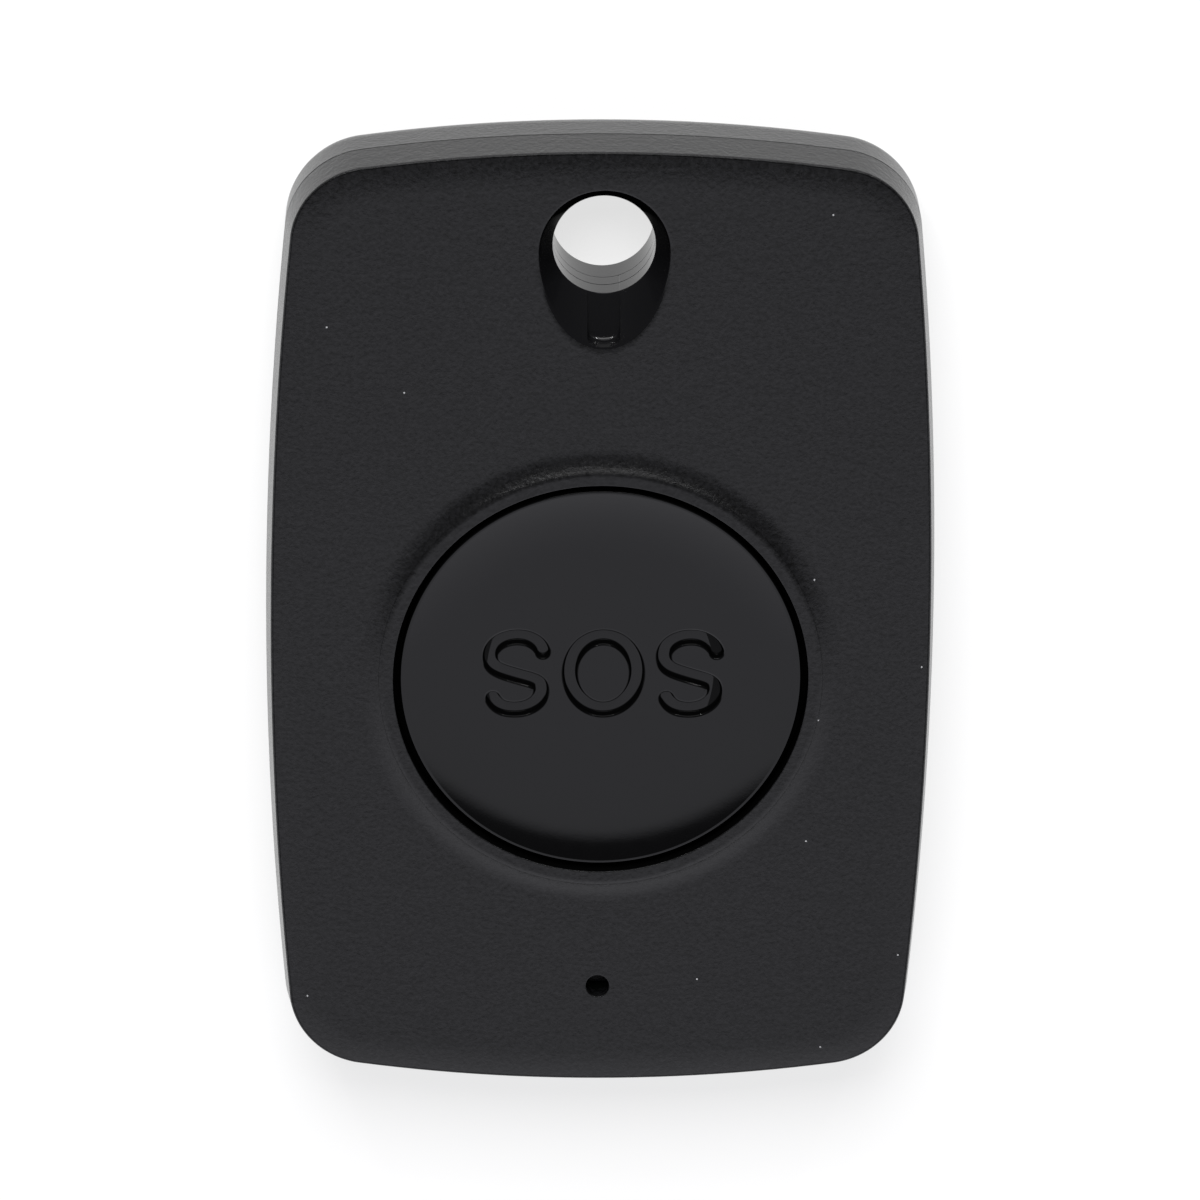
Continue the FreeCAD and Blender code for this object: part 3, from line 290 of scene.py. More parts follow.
def lattice(rows, columns, ring=True):
    """The four-sided faces of a grid of points, joined round when ring is true."""
    across = columns if ring else columns - 1
    row = np.arange(rows - 1)[:, None] * columns
    here = np.arange(across)[None, :]
    after = (here + 1) % columns
    sides = (row + here, row + after, row + columns + after, row + columns + here)
    return np.stack(sides, axis=-1).reshape(-1, 4)


def inside(points, loops):
    """True for the points that an odd number of closed loops surround."""
    odd = np.zeros(len(points), bool)
    x, y = points[:, 0][:, None], points[:, 1][:, None]
    for loop in loops:
        ahead = np.roll(loop, -1, axis=0)
        spans = (loop[:, 1] > y) != (ahead[:, 1] > y)
        rise = np.where(ahead[:, 1] == loop[:, 1], 1.0, ahead[:, 1] - loop[:, 1])
        cross = loop[:, 0] + (y - loop[:, 1]) / rise * (ahead[:, 0] - loop[:, 0])
        odd ^= (spans & (x < cross)).sum(axis=1) % 2 == 1
    return odd


class Skin:
    """The points and faces of one piece, gathered patch by patch."""

    def __init__(self):
        self.points = []
        self.faces = []
        self.count = 0

    def add(self, points, faces):
        self.points.append(np.asarray(points, float))
        self.faces.extend((np.asarray(faces) + self.count).tolist())
        self.count += len(points)

    def grid(self, places, ring=True):
        """A patch of rows by columns of points."""
        rows, columns = places.shape[:2]
        self.add(places.reshape(-1, 3), lattice(rows, columns, ring))

    def fill(self, loops, height, spacing):
        """The sheet between closed loops. Height gives z at x, y. Points on a square lattice
        inside the sheet keep its triangles even; those too near a side of a loop are left out."""
        edge = np.concatenate(loops)
        low, high = edge.min(axis=0), edge.max(axis=0)
        grid = np.stack(
            np.meshgrid(np.arange(low[0], high[0], spacing), np.arange(low[1], high[1], spacing)),
            axis=-1,
        ).reshape(-1, 2)
        grid = grid[inside(grid, loops)]
        gaps = np.full(len(grid), np.inf)
        for loop in loops:
            side = np.roll(loop, -1, axis=0) - loop
            away = grid[:, None] - loop[None]
            part = np.sum(away * side, axis=2) / np.sum(side * side, axis=1)
            away = away - np.clip(part, 0, 1)[..., None] * side
            gaps = np.minimum(gaps, np.linalg.norm(away, axis=2).min(axis=1))
        grid = grid[gaps > spacing * 0.45]
        edges = []
        start = 0
        for loop in loops:
            ring = np.arange(len(loop))
            edges.extend(np.stack([ring, np.roll(ring, -1)], axis=1) + start)
            start += len(loop)
        flat = [Vector(point) for point in np.concatenate([edge, grid]) * 1000]
        places, _, faces, _, _, _ = delaunay_2d_cdt(
            flat, [tuple(map(int, pair)) for pair in edges], [], 0, 1e-7
        )
        places = np.array([tuple(place) for place in places]) / 1000
        faces = np.array([face for face in faces if len(face) == 3])
        faces = faces[inside(places[faces].mean(axis=1), loops)]
        tops = height(places[:, 0], places[:, 1]) * np.ones(len(places))
        self.add(np.column_stack([places, tops]), faces)

    def raise_loop(self, loop, low, high):
        """An upright wall on a closed loop, closed by a flat lid at its high end."""
        wall = np.stack([with_height(loop, low), with_height(loop, high)])
        self.grid(wall)
        self.add(with_height(loop, high), [list(range(len(loop)))])

    def build(self, name):
        """The finished object: doubles merged, pinholes closed, normals outward, and smooth
        between soft edges."""
        mesh = bpy.data.meshes.new(name)
        mesh.from_pydata(np.concatenate(self.points).tolist(), [], self.faces)
        work = bmesh.new()
        work.from_mesh(mesh)
        bmesh.ops.remove_doubles(work, verts=work.verts, dist=1e-6)
        bmesh.ops.dissolve_degenerate(work, edges=work.edges, dist=1e-7)
        pinholes = [edge for edge in work.edges if edge.is_boundary]
        bmesh.ops.holes_fill(work, edges=pinholes, sides=8)
        bmesh.ops.recalc_face_normals(work, faces=work.faces)
        work.to_mesh(mesh)
        work.free()
        mesh.polygons.foreach_set("use_smooth", np.ones(len(mesh.polygons), bool))
        mesh.set_sharp_from_angle(angle=SHARP_EDGE)
        piece = bpy.data.objects.new(name, mesh)
        bpy.context.scene.collection.objects.link(piece)
        return piece


def with_height(loop, z):
    return np.column_stack([loop, np.full(len(loop), z)])


def circle(radius, x, y, count):
    turn = np.arange(count) / count * 2 * np.pi
    return np.column_stack([x + radius * np.cos(turn), y + radius * np.sin(turn)])


def revolve(profile, y, count):
    """Carries a profile of (radius, z) round the upright axis through (0, y)."""
    turn = np.arange(count) / count * 2 * np.pi
    radius = profile[:, 0][:, None]
    return np.stack(
        [radius * np.cos(turn), y + radius * np.sin(turn), profile[:, 1][:, None] + 0 * turn],
        axis=-1,
    )


class Outline:
    """The case's outline as arcs that keep their centres: a point lies at centre + (radius -
    inset) * direction, so every inset has the same columns. The four corners' centres lie where
    the circles of the side and the end, less the corner's radius, meet. Places are heights
    along the left side that get a column of their own."""

    def __init__(self, case, places=()):
        side_x = case.width / 2 - case.side_bow
        end_y = case.length / 2 - case.end_bow
        side_radius, end_radius = case.side_bow - case.corner, case.end_bow - case.corner
        span = np.hypot(side_x, end_y)
        along = (side_radius**2 - end_radius**2 + span**2) / (2 * span)
        across = np.sqrt(side_radius**2 - along**2)
        way = np.array([-side_x, end_y]) / span
        corner = np.array([side_x, 0]) + way * along + np.array([-way[1], way[0]]) * across
        side_turn = np.arctan2(corner[1], corner[0] - side_x)
        end_turn = np.arctan2(corner[1] - end_y, corner[0])
        quarter = np.pi / 2
        arcs = []
        for step in range(4):
            middle = quarter * step
            on_side = step % 2 == 0
            sign = 1 if step < 2 else -1
            centre = (side_x * sign, 0) if on_side else (0, end_y * sign)
            bow = case.side_bow if on_side else case.end_bow
            half = side_turn if on_side else quarter - end_turn
            following = end_turn if on_side else quarter - side_turn
            turns = np.linspace(middle - half, middle + half, 25)
            if step == 2:
                extra = middle - np.arcsin(np.array(places) / bow)
                turns = np.sort(np.concatenate([turns, extra[extra < middle + half]]))
            arcs.append((centre, bow, turns[:-1]))
            sign_x = 1 if step in (0, 3) else -1
            sign_y = 1 if step < 2 else -1
            turns = np.linspace(middle + half, middle + following, 41)
            if step == 2:
                rise = np.clip((np.array(places) + corner[1]) / case.corner, -1, 1)
                extra = middle - np.arcsin(rise)
                turns = np.sort(np.concatenate([turns, extra[extra > middle + half]]))
            arcs.append(((corner[0] * sign_x, corner[1] * sign_y), case.corner, turns[:-1]))
        self.centre = np.concatenate([np.tile(c, (len(t), 1)) for c, _, t in arcs])
        self.radius = np.concatenate([np.full(len(t), r) for _, r, t in arcs])
        turn = np.concatenate([t for _, _, t in arcs])
        self.way = np.column_stack([np.cos(turn), np.sin(turn)])

    def loop(self, inset):
        return self.centre + (self.radius - inset)[:, None] * self.way

    def carry(self, profile, change=None):
        """Carries a profile of (inset, z) round the outline. Change may move single points: it
        gets the insets as rows by columns, with the outline's own points."""
        insets = np.repeat(profile[:, :1], len(self.radius), axis=1)
        if change:
            insets = change(insets, self.loop(0))
        flat = self.centre + (self.radius - insets)[..., None] * self.way
        tops = np.broadcast_to(profile[:, 1][:, None, None], flat.shape[:2] + (1,))
        return np.concatenate([flat, tops], axis=-1)


class BoreGrid:
    """Loops round the keyring bore that share their columns. The upper half of a loop is half
    a circle, the lower half is half an ellipse. Near the middle the lower columns run straight
    along the case, so that they follow the cord slot."""

    def __init__(self, bore, count=300):
        self.bore = bore
        turn = np.arange(count) / count * 2 * np.pi
        half = bore.slot_half
        steps = half + np.array([-0.06, -0.03, 0.0, 0.03, 0.06]) * MM
        extra = np.arccos(np.concatenate([steps, -steps]) / bore.radius)
        self.turn = np.sort(np.concatenate([turn, 2 * np.pi - extra]))

    def loop(self, across, reach, rise=None):
        bore = self.bore
        x = bore.radius * np.cos(self.turn)
        upper = self.turn <= np.pi
        part = np.clip((np.abs(x) / bore.radius - 0.5) / 0.5, 0, 1) ** 2
        low_x = x + (across - bore.radius) * part * np.sign(x)
        low_y = -reach * np.sqrt(np.clip(1 - (low_x / across) ** 2, 0, 1))
        high_x = across * np.cos(self.turn)
        high_y = (rise or across) * np.sin(self.turn)
        x = np.where(upper, high_x, low_x)
        y = np.where(upper, high_y, low_y)
        return np.column_stack([x, y + bore.place])

    def between(self, first, last, parts):
        return first[None] + (last - first)[None] * parts[:, None, None]


def soft_least(first, second, soft):
    """The lower of two heights, with the corner between them rounded over soft."""
    part = np.clip(0.5 + 0.5 * (second - first) / soft, 0, 1)
    return second + (first - second) * part - soft * part * (1 - part)


def scoop_share(bore, x, y):
    """How far down the scoop a place lies: 0 at the mouth and 1 at the bore. Each level of the
    scoop is half a circle above half an ellipse, whose sizes shrink evenly from the mouth's to
    the bore's, so the share is found by halving between -1 and 1.5."""
    low, high = np.full(x.shape, -1.0), np.full(x.shape, 1.5)
    for _ in range(40):
        part = (low + high) / 2
        across = bore.mouth - (bore.mouth - bore.radius) * part
        reach = np.where(y > 0, across, bore.reach - (bore.reach - bore.radius) * part)
        beyond = (x / across) ** 2 + (y / reach) ** 2 > 1
        high = np.where(beyond, part, high)
        low = np.where(beyond, low, part)
    return (low + high) / 2


def scoop_surface(bore, flat, slot):
    """Depth of the scoop below its face at places (x, y): the face and the scoop's slope meet
    in a soft lip. The cord slot's floor climbs a little away from the bore, and its end is
    rounded as seen from above and curves up."""
    x, y = flat[..., 0], flat[..., 1] - bore.place
    slope = -bore.depth * scoop_share(bore, x, y)
    top = soft_least(np.zeros_like(slope), slope, bore.lip)
    if not slot:
        return top
    rise = 2 * bore.depth
    side = np.clip((np.abs(x) - bore.slot_half + 0.03 * MM) / (0.09 * MM), 0, 1)
    side = np.where(y > 0, 1, side)
    part = np.clip(np.abs(x) / bore.slot_half, 0, 1)
    y = y + bore.slot_reach - bore.slot_turn * (1 - np.sqrt(1 - part**2))
    ahead = bore.slot_foot - np.clip(y, 0, bore.slot_foot)
    curve = bore.slot_foot - np.sqrt(np.clip(bore.slot_foot**2 - ahead**2, 0, None))
    past = np.clip(-y / (0.12 * MM), 0, 1)
    climb = bore.slot_rise * np.clip(1 - y / (bore.slot_reach - bore.radius), 0, 1)
    floor = -bore.depth + climb + np.maximum(side * rise, curve + past * rise)
    return soft_least(top, floor, 0.05 * MM)


def bore_wall(bore, start, end, outward):
    """The bore's wall from one height to the other, as (radius added, height): a fine line
    part way down and a soft edge where the two tubes meet."""
    down = np.sign(end - start)
    soft = 0.03 * MM
    rows = [(0.0, start), (0.0, start + down * 0.01 * MM)]
    if outward:
        line = ((-0.06, 0), (-0.04, 0), (-0.01, 0.025), (0.01, 0.025), (0.04, 0), (0.06, 0))
        rows += [(cut * MM, bore.line - offset * MM) for offset, cut in line]
    rows += [(0.0, end - down * soft * back) for back in (1.4, 1.0)]
    return rows + [(soft * 0.4, end - down * soft * 0.3), (soft, end)]


def bore_patch(skin, case, bore, front):
    """The scoop with its margin, the bore's wall, the end of the tube, and the tube and the
    block behind them. Returns the loop in the face and the loop in the inner surface."""
    grid = BoreGrid(bore)
    face = case.face if front else 0.0
    sign = 1 if front else -1
    mouth = grid.loop(bore.mouth, bore.reach)
    wide, low = bore.mouth + bore.margin, bore.reach + bore.margin
    margin = grid.loop(wide, low, bore.mouth + bore.end_margin)
    hole = grid.loop(bore.radius, bore.radius)
    outer = grid.between(margin, mouth, 1 - (1 - np.linspace(0, 1, 12)) ** 1.5)
    near = np.linspace(0, 1, 46) ** 1.35
    near = np.insert(near, -1, 0.995)
    inner = grid.between(mouth, hole, near)
    flat = np.concatenate([outer[:-1], inner])
    depth = scoop_surface(bore, flat, front)
    depth[0] = 0
    depth[-1] = -bore.depth
    skin.grid(np.concatenate([flat, (face + sign * depth)[..., None]], axis=-1))
    rim = face - sign * bore.depth
    tube = bore.radius + bore.wall
    block = grid.loop(bore.mouth + bore.wall, bore.reach + bore.wall)
    under = rim - sign * bore.wall
    floor = case.face - case.wall if front else case.wall
    rows = []
    for more, z in bore_wall(bore, rim, bore.split, front):
        way = (hole - [0, bore.place]) / bore.radius
        ring = hole + way * more
        if front and bore.split < z < bore.line + 0.1 * MM:
            ring = ring + way * hairline(grid)[:, None]
        rows.append(with_height(ring, z))
    rows.append(with_height(grid.loop(tube, tube), bore.split))
    rows.append(with_height(grid.loop(tube, tube), under))
    rows.append(with_height(block, under))
    rows.append(with_height(block, floor))
    skin.grid(np.stack(rows))
    return margin, block


def hairline(grid):
    """A short upright scratch in the bore's wall, as depth over the columns."""
    place, width, depth = 1.5 * np.pi + 0.31, 0.014, 0.03 * MM
    return depth * np.clip(1 - np.abs(grid.turn - place) / width, 0, 1)


def collar_corners(button, face):
    """The collar's profile: the slope that lets a hollow arc and the shoulder's arc meet."""
    land = button.opening + button.collar_land
    run, rise = button.collar_foot - land, button.collar_rise
    slope = np.arcsin(run * rise * 2 / (run**2 + rise**2))
    hollow = run / np.sin(slope) - button.crest
    tangent = np.tan(slope / 2) * 0.999
    top = face + rise
    return [
        (button.collar_foot - hollow * tangent, face, hollow * 0.999),
        (land + button.crest * tangent, top, button.crest * 0.999),
        (button.opening, top, 0.06 * MM),
    ]


def make_front(case, bore, button, name="front_case"):
    """The front shell: a crowned rim, the face, the collar, the scoop and the light's hole,
    and inside it the groove, the guide ring and the posts."""
    skin = Skin()
    face, joint = case.face, case.joint
    ceiling = face - case.wall
    lean = np.tan(case.front_draft)
    edge = face - case.crown_drop
    edge_inset = (edge - joint) * lean
    crest = edge_inset + case.crown_run
    groove = case.wall - case.tongue_wall - case.joint_gap
    groove_top = joint + case.tongue_rise + case.joint_gap
    outline = Outline(case)
    slope = np.arctan(case.crown_drop / case.crown_run)
    start = crest + case.crown_round * np.tan(slope / 2) + 0.05 * MM
    rim = soft_path(
        [
            (start, face, 0),
            (crest, face, case.crown_round),
            (edge_inset, edge, case.edge_round),
            (0, joint, case.lip_round),
            (groove, joint, 0),
            (groove, groove_top, 0),
            (case.wall, groove_top, 0),
            (case.wall, ceiling, 0),
        ],
        10,
    )
    skin.grid(outline.carry(rim))
    collar = soft_path(
        [(button.collar_foot + 0.4 * MM, face, 0)]
        + collar_corners(button, face)
        + [(button.opening, ceiling, 0)],
        10,
    )
    skin.grid(revolve(collar, button.place, ROUND_COLUMNS))
    margin, block = bore_patch(skin, case, bore, True)
    light = soft_path(
        [
            (case.light_hole + 0.3 * MM, face, 0),
            (case.light_hole, face, 0.06 * MM),
            (case.light_hole, ceiling, 0),
        ],
        4,
    )
    skin.grid(revolve(light, case.light_place, HOLE_COLUMNS))
    face_loops = [
        outline.loop(start),
        circle(collar[0, 0], 0, button.place, ROUND_COLUMNS),
        margin,
        circle(light[0, 0], 0, case.light_place, HOLE_COLUMNS),
    ]
    skin.fill(face_loops, lambda x, y: face, 0.9 * MM)
    posts = [square(case.post, *place) for place in post_places(case)]
    guide = button.guide
    ribs = ring_ribs(guide, guide + button.guide_wall, button.place, button.window, 4)
    inner_loops = [
        outline.loop(case.wall),
        circle(button.opening, 0, button.place, ROUND_COLUMNS),
        block,
        circle(case.light_hole, 0, case.light_place, HOLE_COLUMNS),
    ]
    skin.fill(inner_loops + posts + ribs, lambda x, y: ceiling, 1.5 * MM)
    board_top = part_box("circuit_board")[1].z
    for loop in posts:
        skin.raise_loop(loop, ceiling, board_top)
    for loop in ribs:
        skin.raise_loop(loop, ceiling, ceiling - button.guide_drop)
    return skin.build(name)


def post_places(case):
    """The four posts. The first and the last carry a pin."""
    return [
        (side * case.post_across, along)
        for along in (case.post_high, case.post_low)
        for side in (1, -1)
    ]


def square(half, x, y):
    corners = np.array([(-1, -1), (1, -1), (1, 1), (-1, 1)])
    return np.array([x, y]) + half * corners


def ring_ribs(inner, outer, centre, half_gap, count):
    """A ring as a number of ribs, with gaps of one width between them. A rib starts where the
    gap's edge meets its circle, at the angle whose sine is half_gap / radius."""
    loops = []
    for step in range(count):
        sides = []
        for radius in (inner, outer):
            free = np.arcsin(half_gap / radius)
            first = 2 * np.pi / count * step
            turn = np.linspace(first + free, first + 2 * np.pi / count - free, 120 // count)
            sides.append(np.column_stack([radius * np.cos(turn), centre + radius * np.sin(turn)]))
        loops.append(np.concatenate([sides[0], sides[1][::-1]]))
    return loops


def make_rear(case, bore, button, name="rear_case"):
    """The rear shell: the back with its round edge, the joint with its tongue, the opening
    notch, the scoop, and inside it the cell's ring and the posts."""
    skin = Skin()
    joint, floor = case.joint, case.wall
    lean = np.tan(case.rear_draft)
    half, soft = case.notch_width / 2, 0.04 * MM
    ends = [case.notch_place + side * (half + more) for side in (1, -1) for more in (0, -soft)]
    outline = Outline(case, ends)
    tongue_face = case.wall - case.tongue_wall
    tongue_top = joint + case.tongue_rise
    notch_low = joint - case.notch_height
    start = joint * lean + case.back_round + 1.0 * MM
    lower = soft_path(
        [
            (start, 0, 0),
            (joint * lean, 0, case.back_round),
            ((joint - notch_low) * lean, notch_low, 0),
        ],
        16,
    )
    lip = case.lip_round
    upper = np.array(
        [
            ((joint - notch_low) * lean, notch_low + 0.005 * MM),
            (lip * 1.5 * lean, joint - lip * 1.5),
            (lip * lean, joint - lip),
            (lip * 0.3, joint - lip * 0.3),
            (lip, joint),
        ]
    )
    rest = soft_path(
        [
            (tongue_face, joint, 0),
            (tongue_face, tongue_top, 0.1 * MM),
            (case.wall, tongue_top, 0.1 * MM),
            (case.wall, floor, case.back_round - case.wall),
            (case.wall + 3 * MM, floor, 0),
        ],
        8,
    )
    profile = np.concatenate([lower, upper, rest])
    first, last = len(lower), len(lower) + len(upper)

    def cut_notch(insets, places):
        along = np.abs(places[:, 1] - case.notch_place)
        cut = (places[:, 0] < 0) & (along < half - soft / 2)
        insets[first:last, cut] = case.notch_depth
        return insets

    skin.grid(outline.carry(profile, cut_notch))
    margin, block = bore_patch(skin, case, bore, False)
    skin.fill([outline.loop(start), margin], lambda x, y: 0.0, 1.2 * MM)
    places = post_places(case)
    posts = [square(case.post, *place) for place in places]
    ring = case.cell_ring
    halves = ring_ribs(ring, ring + case.ring_wall, button.place, case.ring_gap, 2)
    around = outline.loop(case.wall + 3 * MM)
    skin.fill([around, block] + posts + halves, lambda x, y: floor, 1.5 * MM)
    board_low, board_top = (corner.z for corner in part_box("circuit_board"))
    for loop in posts[1:3]:
        skin.raise_loop(loop, floor, board_low)
    for loop, place in ((posts[0], places[0]), (posts[3], places[3])):
        pin = circle(case.pin, *place, PIN_COLUMNS)
        skin.grid(np.stack([with_height(loop, floor), with_height(loop, board_low)]))
        skin.fill([loop, pin], lambda x, y: board_low, 1.5 * MM)
        skin.raise_loop(pin, board_low, board_top - case.joint_gap)
    for loop in halves:
        skin.raise_loop(loop, floor, floor + case.ring_rise)
    return skin.build(name)


# The button and its letters


def bend_line(width, height):
    """The middle line of the bent letter: cubic curves through seven places, each with the
    way it runs there and how strongly. Places are shares of half the width and height."""
    half_w, half_h = width / 2, height / 2
    knots = [
        ((0.98, 0.60), (-0.35, 1.0), 0.8),
        ((0.03, 1.0), (-1.0, 0.0), 1.7),
        ((-0.99, 0.46), (0.0, -1.0), 1.35),
        ((-0.05, -0.06), (1.0, -0.32), 2.0),
        ((0.93, -0.50), (0.0, -1.0), 1.3),
        ((-0.05, -1.0), (-1.0, 0.0), 1.55),
        ((-0.88, -0.70), (-0.45, 0.85), 0.8),
    ]
    part = np.linspace(0, 1, 33)[:-1, None]
    runs = []
    for (here, way, pull), (ahead, next_way, next_pull) in zip(knots, knots[1:]):
        here, ahead = np.array(here) * (half_w, half_h), np.array(ahead) * (half_w, half_h)
        way = np.array(way) / np.hypot(*way) * pull * half_w
        next_way = np.array(next_way) / np.hypot(*next_way) * next_pull * half_w
        runs.append(
            (2 * part**3 - 3 * part**2 + 1) * here
            + (part**3 - 2 * part**2 + part) * way
            + (3 * part**2 - 2 * part**3) * ahead
            + (part**3 - part**2) * next_way
        )
    runs.append(np.array([knots[-1][0]]) * (half_w, half_h))
    return np.concatenate(runs)


def normals_of(line, closed):
    """Unit normals of a line, to the left of its way."""
    if closed:
        way = np.roll(line, -1, axis=0) - np.roll(line, 1, axis=0)
    else:
        way = np.gradient(line, axis=0)
    way = way / np.linalg.norm(way, axis=1)[:, None]
    return np.column_stack([-way[:, 1], way[:, 0]])


def stroke_loop(line, apart):
    """The closed loop at a distance round an open line, with half circles at its ends."""
    side = normals_of(line, False)
    part = np.linspace(0, np.pi, 20)[1:-1, None]
    way = np.column_stack([side[:, 1], -side[:, 0]])
    last_cap = line[-1] + apart * (np.cos(part) * side[-1] + np.sin(part) * way[-1])
    first_cap = line[0] - apart * (np.cos(part) * side[0] + np.sin(part) * way[0])
    return np.concatenate(
        [line + apart * side, last_cap, line[::-1] - apart * side[::-1], first_cap]
    )


def groove_profile(letters):
    """Across half a stroke, as (distance from the middle line, depth): a soft lip, a wall that
    leans a little and a hollow foot."""
    half = letters.stroke / 2
    lean = letters.depth * 0.1
    return soft_path(
        [
            (half + letters.lip * 1.5, 0, 0),
            (half, 0, letters.lip),
            (half - lean, -letters.depth, letters.foot),
            (0, -letters.depth, 0),
        ],
        8,
    )


def engrave(skin, letters, dish):
    """The three letters as grooves: each profile point is a loop round the letter's middle
    line. Returns the loops that bound them in the face."""
    profile = groove_profile(letters)
    stroke = letters.stroke
    height = letters.height - stroke
    loops = []

    def groove(loop_at):
        rows = []
        for apart, depth in profile:
            flat = loop_at(apart)
            rows.append(np.column_stack([flat, dish(flat[:, 0], flat[:, 1]) + depth]))
        skin.grid(np.stack(rows))
        loops.append(rows[0][:, :2])

    for place in (letters.left_place, letters.right_place):
        line = bend_line(letters.bend_width - stroke, height) + np.array([place, letters.drop])
        groove(lambda apart, line=line: stroke_loop(line, apart))
    turn = np.arange(160) / 160 * 2 * np.pi
    oval = np.column_stack(
        [
            letters.round_place + (letters.round_width - stroke) / 2 * np.cos(turn),
            letters.drop + height / 2 * np.sin(turn),
        ]
    )
    side = normals_of(oval, True)
    for way in (-1, 1):
        groove(lambda apart, way=way: oval + side * apart * way)
    return loops


def make_button(case, button, letters, name="push_button"):
    """The button: a dished face with engraved letters, a flat rim, the outer wall, and below
    it the flange, the skirt and the nib. The dish rises as a power of the distance from the
    button's middle, so it is flat at the letters and steepest at the rim."""
    skin = Skin()
    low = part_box("button_cap")[0].z
    top = case.face + button.collar_rise - button.sink
    floor = top - button.dish
    under = floor - button.plate
    edge = button.radius - button.rim
    nib_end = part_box("switch_plunger")[1].z + 0.02 * MM
    face_end = edge - button.dish_band

    def dish(x, y):
        away = np.hypot(x, y - button.place) / edge
        return floor + button.dish * away**button.dish_power

    away = np.append(np.linspace(face_end, edge, 26)[:-1], edge - 0.02 * MM)
    profile = np.concatenate(
        [
            np.column_stack([away, dish(away, button.place)]),
            soft_path(
                [
                    (edge, top, 0),
                    (button.radius, top, button.rim_round),
                    (button.radius, low + button.flange_thick, 0),
                    (button.flange, low + button.flange_thick, 0),
                    (button.flange, low, 0),
                    (button.skirt, low, 0),
                    (button.skirt, under, 0),
                    (button.nib, under, 0),
                    (button.nib, nib_end, 0),
                    (0, nib_end, 0),
                ],
                6,
            ),
        ]
    )
    skin.grid(revolve(profile, button.place, ROUND_COLUMNS))
    loops = engrave(skin, letters, dish)
    loops.append(circle(face_end, 0, button.place, ROUND_COLUMNS))
    skin.fill(loops[-1:] + loops[:-1], dish, 0.45 * MM)
    return skin.build(name)


def make_ring(button, name="soft_ring"):
    """The soft return ring under the button: a flat ring with soft edges, carried round the
    button's axis."""
    skin = Skin()
    low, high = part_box("return_ring")
    middle, soft = (button.ring_hole + high.x) / 2, 0.06 * MM
    profile = soft_path(
        [
            (middle, low.z, 0),
            (high.x, low.z, soft),
            (high.x, high.z, soft),
            (button.ring_hole, high.z, soft),
            (button.ring_hole, low.z, soft),
            (middle, low.z, 0),
        ],
        4,
    )
    skin.grid(revolve(profile, button.place, 96))
    piece = skin.build(name)
    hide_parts("return_ring")
    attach(piece, "case")
    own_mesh(piece)
    return piece


# Materials


class Signal:
    """A value that a socket carries. Sums written with it add Math nodes."""

    def __init__(self, shader, socket):
        self.shader = shader
        self.socket = socket

    def sum_with(self, operation, first, second):
        node = self.shader.add(
            "ShaderNodeMath", {"operation": operation}, {0: first, 1: second}
        )
        return Signal(self.shader, node.outputs[0])

    def __add__(self, other):
        return self.sum_with("ADD", self, other)

    def __sub__(self, other):
        return self.sum_with("SUBTRACT", self, other)

    def __rsub__(self, other):
        return self.sum_with("SUBTRACT", other, self)

    def __mul__(self, other):
        return self.sum_with("MULTIPLY", self, other)

    def __truediv__(self, other):
        return self.sum_with("DIVIDE", self, other)

    def __lt__(self, other):
        return self.sum_with("LESS_THAN", self, other)

    def __gt__(self, other):
        return self.sum_with("GREATER_THAN", self, other)

    __radd__ = __add__
    __rmul__ = __mul__


class Shader:
    """One material or world and its nodes."""

    def __init__(self, tree):
        self.tree = tree
        tree.nodes.clear()

    def add(self, kind, options=None, sockets=None):
        """A node with its settings first and then its sockets' values or links."""
        node = self.tree.nodes.new(kind)
        for name, value in (options or {}).items():
            if name == "stops":
                ramp = node.color_ramp
                while len(ramp.elements) < len(value):
                    ramp.elements.new(0.5)
                for element, (place, shade) in zip(ramp.elements, value):
                    element.position = place
                    element.color = (*shade, 1)
            else:
                setattr(node, name, value)
        for name, value in (sockets or {}).items():
            if isinstance(value, Signal):
                self.tree.links.new(value.socket, node.inputs[name])
            else:
                node.inputs[name].default_value = value
        return node

    def take(self, kind, output, options=None, sockets=None):
        return Signal(self, self.add(kind, options, sockets).outputs[output])

    def place(self):
        return self.take("ShaderNodeTexCoord", "Object")

    def axes(self):
        parts = self.add("ShaderNodeSeparateXYZ", None, {"Vector": self.place()})
        return [Signal(self, parts.outputs[axis]) for axis in "XYZ"]

    def noise(self, place, size, detail=2.0, rough=0.5):
        return self.take(
            "ShaderNodeTexNoise",
            "Fac",
            None,
            {"Vector": place, "Scale": 1 / size, "Detail": detail, "Roughness": rough},
        )

    def blend(self, part, first, second):
        """A colour that goes from the first to the second."""
        node = self.add(
            "ShaderNodeMix",
            {"data_type": "RGBA"},
            {0: part, 6: as_colour(first), 7: as_colour(second)},
        )
        return Signal(self, node.outputs[2])

    def bump(self, height, distance):
        return self.take(
            "ShaderNodeBump", "Normal", None, {"Height": height, "Distance": distance, "Strength": 1.0}
        )

    def finish(self, shader, target="ShaderNodeOutputMaterial"):
        self.add(target, None, {"Surface": shader})


def as_colour(value):
    return value if isinstance(value, Signal) else (*tuple(value)[:3], 1)


